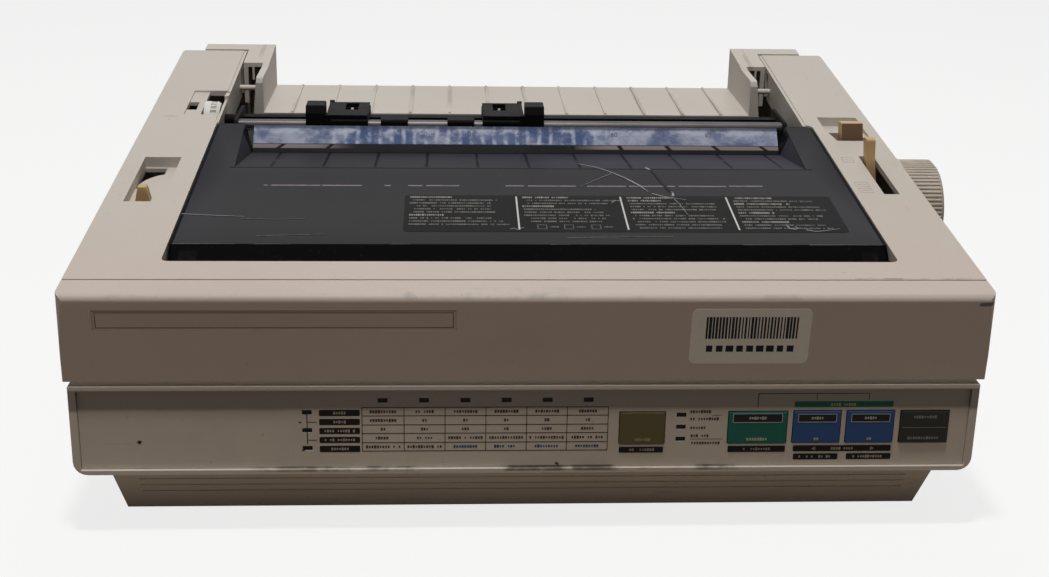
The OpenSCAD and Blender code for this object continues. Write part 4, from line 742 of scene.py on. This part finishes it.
KEY_TONES = {"olive_key": (104, 94, 64), "green_key": (36, 104, 90), "left_blue_key": (56, 88, 142),
             "right_blue_key": (56, 88, 142), "grey_key": (50, 48, 45)}
for name, tone in KEY_TONES.items():
    dress(name, tinted_plastic(name + "_plastic", tone, 0.4, 0.05, 0.12), 0.0006, 3)
KEYS_PROUD = 0.7
KEY_FACE = Face((0, PANEL_Y - KEYS_PROUD, 0), (0, 0, 1))
key_pale = printed("key_pale_print", (190, 188, 176), 0.35, (120, 122, 116))
key_inset = printed("key_inset_black", (36, 36, 36), 0.2)
for name, x0, x1, z0, z1, half_word in (("green_key", 87.3, 108.9, 50.8, 55.2, 5.0),
                                        ("left_blue_key", 115.6, 132.5, 50.9, 54.9, 1.4),
                                        ("right_blue_key", 138.8, 155.8, 50.9, 54.9, 1.4)):
    inset, edge = Marks(KEY_FACE), Marks(KEY_FACE, 0.09, 0.04)
    inset.bar(x0, x1, z0, z1)
    edge.frame(x0, x1, z0, z1, 0.3)
    middle = (x0 + x1)/2
    edge.words(middle - (x1 - x0)*0.19, middle + (x1 - x0)*0.19, (z0 + z1)/2, 1.4, 60, 1.1, 0.0)
    edge.words(middle - half_word, middle + half_word, 43.0, 1.5, 61, 1.15, 0.0)
    inset.piece(name + "_inset", key_inset, name)
    edge.piece(name + "_print", key_pale, name)
olive_print = Marks(KEY_FACE)
olive_print.words(44.8, 52.4, 43.0, 1.5, 62, 1.15, 0.0)
olive_print.piece("olive_key_print", printed("olive_key_ink", (160, 150, 118)), "olive_key")
grey_print = Marks(KEY_FACE)
grey_print.words(165.8, 176.4, 53.2, 1.4, 63, 1.15, 0.0)
grey_print.words(164.2, 178, 43.2, 1.4, 64, 1.15, 0.05)
grey_print.bar(161.6, 180.8, 48.1, 48.3)
grey_print.piece("grey_key_print", printed("grey_key_ink", (138, 134, 126)), "grey_key")

# ------------------------------------------------------------------ name plate and sticker
# A thin plate in its recess, bare, and a white paper sticker with a plain bar pattern, both on the
# leaning front of the upper case. Faint signs are moulded in beside the release lever, drawn in
# painted shade.

SEAM_Z, LEAN, LEAN_HEIGHT = 71, 5, 40     # the front leans forward by 5 over its height of 40
FRONT = Face((0, LEAN, SEAM_Z), (0, -LEAN, LEAN_HEIGHT))
RECESS = Face((0, LEAN + 0.6, SEAM_Z), (0, -LEAN, LEAN_HEIGHT))


def up_front(z):
    """Distance up the leaning front to a height."""
    return (z - SEAM_Z)*math.hypot(LEAN, LEAN_HEIGHT)/LEAN_HEIGHT


plate = Marks(RECESS, 0.22)
plate.bar(-179.9, -32.1, up_front(95.7), up_front(104.0), 0.8)
plate.piece("bare_name_plate", case_plastic("plate_lacquer", (202, 188, 177), (196, 181, 169), 0.6), "case",
            "shell")
# a thin dark outline round the plate, and a painted shadow along the recess's top edge
plate_outline_and_shadow = Marks(RECESS, 0.27, 0.2)
plate_outline_and_shadow.frame(-179.3, -32.7, up_front(96.2), up_front(103.5), 0.35)
plate_outline_and_shadow.bar(-180.2, -31.8, up_front(104.05), up_front(104.4))
plate_outline_and_shadow.piece("name_plate_line", printed("plate_line", (112, 102, 92)), "case")
# a painted highlight along the recess's bottom edge
plate_foot_highlight = Marks(RECESS, 0.27, 0.2)
plate_foot_highlight.bar(-180.2, -31.8, up_front(95.3), up_front(95.75))
plate_foot_highlight.piece("name_plate_foot", printed("plate_foot_line", (226, 214, 200)), "case")
DECK = Face((0, 0, DECK_Z), (0, 1/DECK_RISE, 1))
# the moulded signs drawn in painted shade, a little darker than the beige
moulded = Marks(DECK, 0.05)
for x0, x1, y0, y1 in ((164.6, 171.4, 118.188, 124.218), (164.9, 171.6, 110.952, 116.178),
                       (166.2, 172.0, 150.147, 156.981)):
    moulded.frame(x0, x1, y0, y1, 0.25)
    moulded.bar(x0 + 1.2, x1 - 1.2, (y0 + y1)/2 - 0.15, (y0 + y1)/2 + 0.15)
moulded.piece("moulded_signs", printed("moulded_edge_shade", (178, 166, 154), 0.6, (196, 186, 176)), "case")

sticker = Marks(FRONT, 0.09)
sticker.bar(66.3, 117.0, up_front(79.2), up_front(105.2), 2.6)
sticker.piece("paper_sticker", printed("sticker_paper", (252, 250, 247), 0.3, (236, 232, 226), 0.5), "case")
sticker_ink = printed("sticker_ink", (24, 24, 28), 0.15)
bars = Marks(FRONT, 0.12, 0.07)
thin = row(29, pitch=1.36, wide=1.2, tall=10.4, ink=sticker_ink, narrowest=0.4, seed=5)
bars.take(thin, 73.0, up_front(96.3), 0.09)
blocks = row(9, pitch=4.3, wide=3.3, tall=3.0, ink=sticker_ink, narrowest=0.75, seed=8)
bars.take(blocks, 74.6, up_front(86.4), 0.09)
bars.piece("sticker_bars", sticker_ink, "case")

# ------------------------------------------------------------------ front cover
# One glossy moulding of dark smoked plastic, sunk to a trough along its rear. Its polish is hazed,
# scratched and rubbed. Painted light makes the trough paler, as light gets in from behind, and
# painted shade darkens its valley, the ribs under it and the gap round the cover.

COVER_MIDDLE, COVER_FRONT, COVER_REAR = 2.1, 50, 200.5
TROUGH_FRONT, TROUGH_REAR, TROUGH_DEPTH = 139, 190, 11.6
RIB_X = 31.0              # one of the ribs under the trough


def smoked_plastic():
    """Dark plastic, glossy near the front, hazed and bluish behind, paler down in the trough with painted
    light, with painted shade in the trough's valley and a painted shadow in the gap round it.
    """
    cover = Finish("smoked_cover_plastic")
    across, back, height = cover.spot()
    under = DECK_Z + DECK_RISE*back - height
    haze = cover.noise(8.0, 3.0, 0.55)
    swirl = cover.noise(42.0, 4.0, 0.6, cover.place((0.3, 1, 1), (0, 0, 0.35)))
    dust = cover.noise(520.0, 2.0, 0.6)
    colour = cover.mix(haze, shade(12, 12, 12), shade(18, 17, 18))
    lip = 1 - cover.step(back, 50.3, 50.8)
    sides = cover.step((across - COVER_MIDDLE).size(), 132, 150)
    blue = cover.between(back, 116, 230, 16).most(sides)*(1 - lip)
    colour = cover.mix(blue*0.8, colour, shade(19, 19, 28))
    sunk = cover.step(under, 0.25, 0.8)*cover.between(back, TROUGH_FRONT, TROUGH_REAR, 0.6)
    # painted light down in the trough, paler to the right
    lit = cover.mix(cover.step(across, -60, 120), shade(46, 45, 50), shade(60, 59, 69))
    colour = cover.mix(sunk*0.85, colour, lit)
    # painted shade of the ribs under the trough, seen through the smoked top
    ribs = 1 - cover.step((across - RIB_X).near(25.6), 0.35, 1.1)
    faint = 0.3 + 0.7*cover.step(cover.noise(60.0, 2.0), 0.3, 0.5)
    ribs = ribs*cover.between(back, 113, TROUGH_REAR, 1.0)*faint*(0.35 + 0.55*sunk)
    colour = cover.mix(ribs, colour, shade(7, 7, 8))
    # a dark line along the trough's front edge, and painted shade down in its valley
    front_edge = cover.between(back, 138.5, 139.5, 0.3)*cover.between(across, -142, 147, 1.0)
    edges = front_edge.most(cover.between(back, 187.6, 190.4, 0.6)*sunk)
    # painted shadow in the gap round the cover's sides and rear
    rim = cover.step((across - COVER_MIDDLE).size(), 157.2, 157.8).most(cover.step(back, 199.6, 200.0))
    edges = edges.most(rim)
    colour = cover.mix(edges*0.85, colour, shade(6, 6, 8))
    colour = cover.mix(cover.step(dust, 0.66, 0.74)*0.035, colour, shade(150, 146, 140))
    fine = cover.noise(90.0, 3.0, 0.7, cover.place((0.12, 3, 1), (0, 0, 0.9)))
    rub = cover.step(fine, 0.70, 0.78)*0.03
    colour = cover.mix(rub, colour, shade(150, 148, 146))
    rough = 0.11 + 0.08*swirl + 0.09*haze + 2.0*rub + 0.3*sunk
    glossy = cover.surface(Base_Color=colour, Roughness=rough, Specular_IOR_Level=0.065,
                           Normal=cover.bump(cover.noise(14.0, 2.0), 0.0006, 0.12))
    matt = cover.surface(Base_Color=colour, Roughness=0.6, Specular_IOR_Level=0.01)
    far = cover.step(back, 56, TROUGH_FRONT)*(1 - 0.4*sunk)*0.5
    dull = lip.most(far).most(edges*0.9).most(ribs*0.7)
    return cover.done(cover.node("ShaderNodeMixShader", None, {0: dull, 1: glossy, 2: matt}))


dress("front_cover", smoked_plastic(), 0.0004)
COVER_LIP = Face((0, COVER_FRONT, DECK_Z + DECK_RISE*COVER_FRONT), (0, 11.5, 11.15))


def back(y):
    """Distance up the slope of the cover's top to a depth."""
    return y*math.hypot(1, DECK_RISE)


# a broken pale line: a painted reflection on the smoked top, broken where the tractors stand
painted_reflection_line = Marks(DECK, 0.03)
for x0, x1, y in ((-123.3, -121.4, 116.5), (-119.8, -96.3, 116.5), (-95.6, -76.4, 116.5),
                  (-65.6, -62.7, 116.6), (-54.4, -47.6, 116.6), (-45.7, -29.8, 116.7), (-7.4, 1.5, 116.8),
                  (3.5, 26.6, 116.8), (32.1, 51.1, 116.8), (52.6, 75.1, 117.0), (76.8, 100.1, 117.1),
                  (101.7, 118.0, 117.6)):
    painted_reflection_line.bar(x0, x1, back(y - 0.65), back(y + 0.65))
painted_reflection_line.piece("cover_pale_line", printed("cover_painted_reflection", (136, 124, 120), 0.75, (84, 78, 78), 0.3),
                "front_cover")

# the instruction label: a film a shade darker than the cover, in four columns of greeked text
label = Marks(DECK, 0.08)
label.bar(-55.4, 147.8, back(63.6), back(105.0), 2.2)
label.piece("cover_label", tinted_plastic("label_film", (12, 12, 13), 0.3, 0.04, 0.035), "front_cover")
label_ink = printed("label_print", (122, 120, 117), 0.7, (52, 52, 52), 0.5)
label_text, label_bold = Marks(DECK, 0.13, 0.06), Marks(DECK, 0.15, 0.06)
dice = random.Random(7)
FIRST_LINE_Y, LINE_PITCH = 102.6, 3.45
COLUMNS = ((-53.6, -5.2), (-0.6, 44.4), (49.6, 95.0), (100.0, 145.4))
BOLD_ROWS = ((0, 6), (0, 3), (0, 1, 5), (0, 2, 5, 8))
for column, (x0, x1) in enumerate(COLUMNS):
    for line in range(11):
        bold = line in BOLD_ROWS[column]
        start = x0 + (0 if bold else dice.choice((0.3, 0.3, 2.2)))
        end = start + (x1 - start)*(dice.uniform(0.35, 0.6) if bold else dice.uniform(0.78, 1.0))
        if column == 1 and line > 8 or column == 0 and line == 10:
            continue
        y = FIRST_LINE_Y - LINE_PITCH*line
        (label_bold if bold else label_text).words(start, end, back(y), 1.9 if bold else 1.55,
                                                   100 + 20*column + line, 1.0, 0.05 if bold else 0.14)
for x in (5.4, 17.6, 30.0):
    label_text.frame(x, x + 4.4, back(66.6), back(71.4), 0.35)
    label_text.words(x + 5.0, x + 10.4, back(69.0), 1.2, int(x), 1.1, 0.1)
label_text.piece("cover_label_text", label_ink, "front_cover")
label_bold.piece("cover_label_titles", printed("label_title_print", (158, 156, 152), 0.5, (80, 80, 80), 0.5),
                 "front_cover")
dividers = Marks(DECK, 0.14, 0.06)
for x in (-2.9, 46.7, 97.5):
    dividers.bar(x - 0.4, x + 0.4, back(66.0), back(103.6))
dividers.piece("cover_label_dividers", printed("label_white", (214, 212, 208), 0.2, (150, 150, 148), 0.45),
               "front_cover")

# scratches from years of use, and one gouge with raised white ends
scratch_white = printed("scratch_white", (176, 172, 172), 0.8, (84, 82, 84), 0.6)
scratches = Marks(DECK, 0.16, 0.05)
for points, wide, narrow in (
        (((37.8, 141.6), (41.5, 138.5), (45.3, 134.9), (51.7, 127.4), (57.9, 117.6)), 0.45, 0.8),
        (((57.9, 117.6), (61.0, 110.1)), 0.8, 0.3),
        (((29.9, 145.8), (34, 143.6), (37.8, 141.6)), 0.25, 0.45),
        (((45.4, 132.6), (37.2, 124.8), (28.6, 115.9)), 0.3, 0.12),
        (((62.6, 107.9), (66.2, 105.3), (71.6, 102.9), (78.0, 100.6)), 0.6, 0.2),
        (((71.5, 105.3), (74.3, 94.6), (76.3, 83.0)), 0.35, 0.12),
        (((120.3, 71.0), (121.0, 68.0), (123.4, 67.0), (124.9, 68.4), (124.0, 70.2)), 0.5, 0.35),
        (((128.2, 66.6), (132.3, 64.6), (137.2, 65.6), (144.2, 67.8)), 0.55, 0.2),
        (((-7.2, 66.4), (-5.4, 67.6), (-3.6, 65.8), (-0.7, 68.6)), 0.45, 0.2),
        (((42.2, 97.0), (44.0, 99.3), (46.4, 98.9), (47.2, 96.6)), 0.5, 0.3),
        (((63.4, 140.8), (65.8, 137.6), (66.6, 134.2)), 1.3, 0.4),
        (((71.6, 112.8), (72.8, 108.6), (72.4, 104.8)), 0.5, 1.2),
        (((-156.4, 82.3), (-150.5, 81.6), (-141.4, 80.6), (-128.0, 79.6)), 0.55, 0.25),
        (((-129, 77.2), (-112, 76.4), (-100, 77.0)), 0.14, 0.08),
        (((-120, 58.6), (-88, 60.6)), 0.16, 0.08),
        (((18, 57.4), (66, 58.8)), 0.2, 0.1)):
    scratches.line([(x, back(y)) for x, y in points], wide, narrow)
scratches.piece("cover_scratches", scratch_white, "front_cover")
gouge = Marks(DECK, 0.18, 0.05)
gouge.line([(x, back(y)) for x, y in ((65.6, 138.4), (67.4, 130.2), (69.2, 120.1), (72.0, 110.6))], 0.7, 1.7)
gouge.piece("cover_gouge", printed("gouge_dark", (20, 20, 21), 0.4, (54, 54, 56), 0.5), "front_cover")

# the two catches let into the cover's front, and pale strokes along its front edge: rubbed places and a
# painted highlight
catches = Marks(COVER_LIP, 0.3)
for x0, x1 in ((-152.4, -144.2), (148.8, 156.2)):
    catches.bar(x0, x1, -12.6, -3.4, 0.8)
catches.piece("cover_catches", tinted_plastic("catch_plastic", (20, 18, 19), 0.4, 0.05, 0.015), "front_cover")
rubbed = Marks(DECK, 0.06)
for x0, x1, y, wide in ((-155.5, -128, 50.35, 0.35), (-120, -104, 50.3, 0.25), (-60, -52, 50.3, 0.2),
                        (10, 19, 50.3, 0.2), (96, 118, 50.35, 0.3), (126, 158.6, 50.4, 0.4)):
    rubbed.line([(x0, back(y)), ((x0 + x1)/2, back(y + 0.1)), (x1, back(y))], wide, wide*0.4)
rubbed.piece("cover_edge_rub_and_highlight", printed("edge_rub_and_highlight", (120, 117, 116), 0.85, (52, 51, 52), 0.5),
             "front_cover")

# ------------------------------------------------------------------ rule strip
# A clear strip set at a slant across the trough's rear, with a scale of columns, 0 to 80, ten to
# the inch. Its colour is painted light and shade: bluish mottle and pale streaks for the light of
# the room seen in it, dark between.

VALLEY_Z = DECK_Z + DECK_RISE*TROUGH_REAR - TROUGH_DEPTH
STRIP_RUN, STRIP_RISE = 9.9, DECK_Z + DECK_RISE*COVER_REAR - 0.8 - VALLEY_Z
STRIP = Face((0, TROUGH_REAR, VALLEY_Z), (0, STRIP_RUN, STRIP_RISE))


def strip_height(s):
    """Height of a place that far up the strip's face."""
    return VALLEY_Z + s*STRIP_RISE/math.hypot(STRIP_RUN, STRIP_RISE)


def clear_strip():
    strip = Finish("clear_strip_plastic")
    across, _, height = strip.spot()
    mottle = strip.noise(58.0, 5.0, 0.68, strip.place((1, 1, 1.8)))
    cloud = strip.noise(17.0, 3.0, 0.6)
    fleck = strip.noise(190.0, 3.0, 0.6)
    # painted light: a bluish mottle, darker and paler at random
    tone = strip.mix(strip.step(mottle, 0.36, 0.64), shade(104, 116, 150), shade(176, 182, 202))
    deep = strip.mix(strip.step(cloud, 0.40, 0.66), shade(66, 86, 132), shade(112, 128, 166))
    middle = strip.between(across, -88, 40, 24)
    tone = strip.mix(middle*strip.step(mottle, 0.68, 0.40)*0.85, tone, deep)
    # painted light in pale streaks
    streak = 1 - strip.step((across + 89.1 + (mottle - 0.5)*3.2).near(6.03), 0.1, 1.7)
    tone = strip.mix(streak*middle*strip.step(fleck, 0.34, 0.62)*0.75, tone, shade(204, 212, 230))
    # painted shade along its top, and a painted highlight line just under it
    top = strip.step(height + fleck*1.6, strip_height(13.6), strip_height(15.6))
    tone = strip.mix(top*0.75, tone, shade(66, 70, 86))
    upper = strip.between(height, strip_height(11.4), strip_height(13.2), 0.9)
    tone = strip.mix(upper*strip.step(mottle, 0.45, 0.6)*0.5, tone, shade(200, 208, 226))
    # under its bottom line, the gap over the trough in painted light and shade: pale at both ends, dark
    # between
    slant = (height - strip_height(3.4))*0.014*across
    ribs = 1 - strip.step((across - RIB_X + slant).near(25.7), 0.9, 1.5)
    lit = (1 - strip.between(across, -82, 26, 26))*(1 - ribs)
    gap = strip.mix(lit*0.9, shade(24, 24, 29), shade(150, 138, 138))
    gap = strip.mix(strip.step(height, strip_height(2.7), strip_height(2.0)), gap, shade(20, 20, 23))
    tone = strip.mix(strip.step(height, strip_height(4.85), strip_height(4.65)), tone, gap)
    line = strip.between(height, strip_height(4.65), strip_height(4.95), 0.12)
    tone = strip.mix(line*0.8, tone, shade(40, 42, 52))
    return strip.done(Base_Color=tone, Roughness=0.42 + 0.2*mottle, Specular_IOR_Level=0.07,
                      Normal=strip.bump(mottle, 0.0004, 0.3))


coat(clear_strip(), "rule_strip")
scale_ink = printed("scale_grey", (98, 102, 120), 0.3, (140, 146, 166), 0.3)
scale = Marks(STRIP, 0.05)
COLUMN, COLUMNS_SHOWN, ZERO_X = 2.54, 80, -98.7
for number in range(0, COLUMNS_SHOWN + 1, 10):
    letters = bpy.data.curves.new("figure", "FONT")
    letters.body, letters.size, letters.align_x, letters.align_y = str(number), 3.6, "CENTER", "CENTER"
    letters.extrude, letters.resolution_u = 0.03, 3
    figure = settled(placed("figure", letters))
    bpy.data.curves.remove(letters)
    scale.take(figure, ZERO_X + COLUMN*number, 10.9, 0.03)
ticks = row(COLUMNS_SHOWN + 1, COLUMN, wide=0.22, tall=0.9, ink=scale_ink, narrowest=1.0)
scale.take(ticks, ZERO_X, 14.2, 0.02)
long_ticks = row(COLUMNS_SHOWN//10 + 1, COLUMN*10, wide=0.26, tall=1.8, ink=scale_ink, narrowest=1.0)
scale.take(long_ticks, ZERO_X, 13.8, 0.02)
scale.piece("column_scale", scale_ink, "front_cover")

# ------------------------------------------------------------------ knob, switch and sockets
# The ridged paper-feed knob pushes on to the platen shaft's right end. The rocker switch is in the
# right side, the mains inlet and the steel-shelled port in the rear.


def knob_dirt(paint, colour):
    """Grey hand dirt between the ridges."""
    across, _, _ = paint.spot()
    patchy = paint.step(paint.noise(45.0, 4.0, 0.6), 0.4, 0.7)
    return paint.mix(patchy*paint.step(across, 200, 204)*0.35, colour, shade(140, 128, 114))


dress("platen_knob", case_plastic("knob_plastic", (206, 197, 185), (196, 184, 168), 0.8, knob_dirt),
              0.00025)
switch_plastic = tinted_plastic("switch_plastic", (24, 24, 25), 0.35)
dress("power_switch", switch_plastic, 0.0004)
dress("switch_rocker", switch_plastic, 0.0004)
dress("mains_inlet", tinted_plastic("inlet_plastic", (28, 28, 29), 0.45), 0.0004)
coat(metal("port_shell", (176, 176, 172), 0.34, (20, 20, 20)), "interface_port")
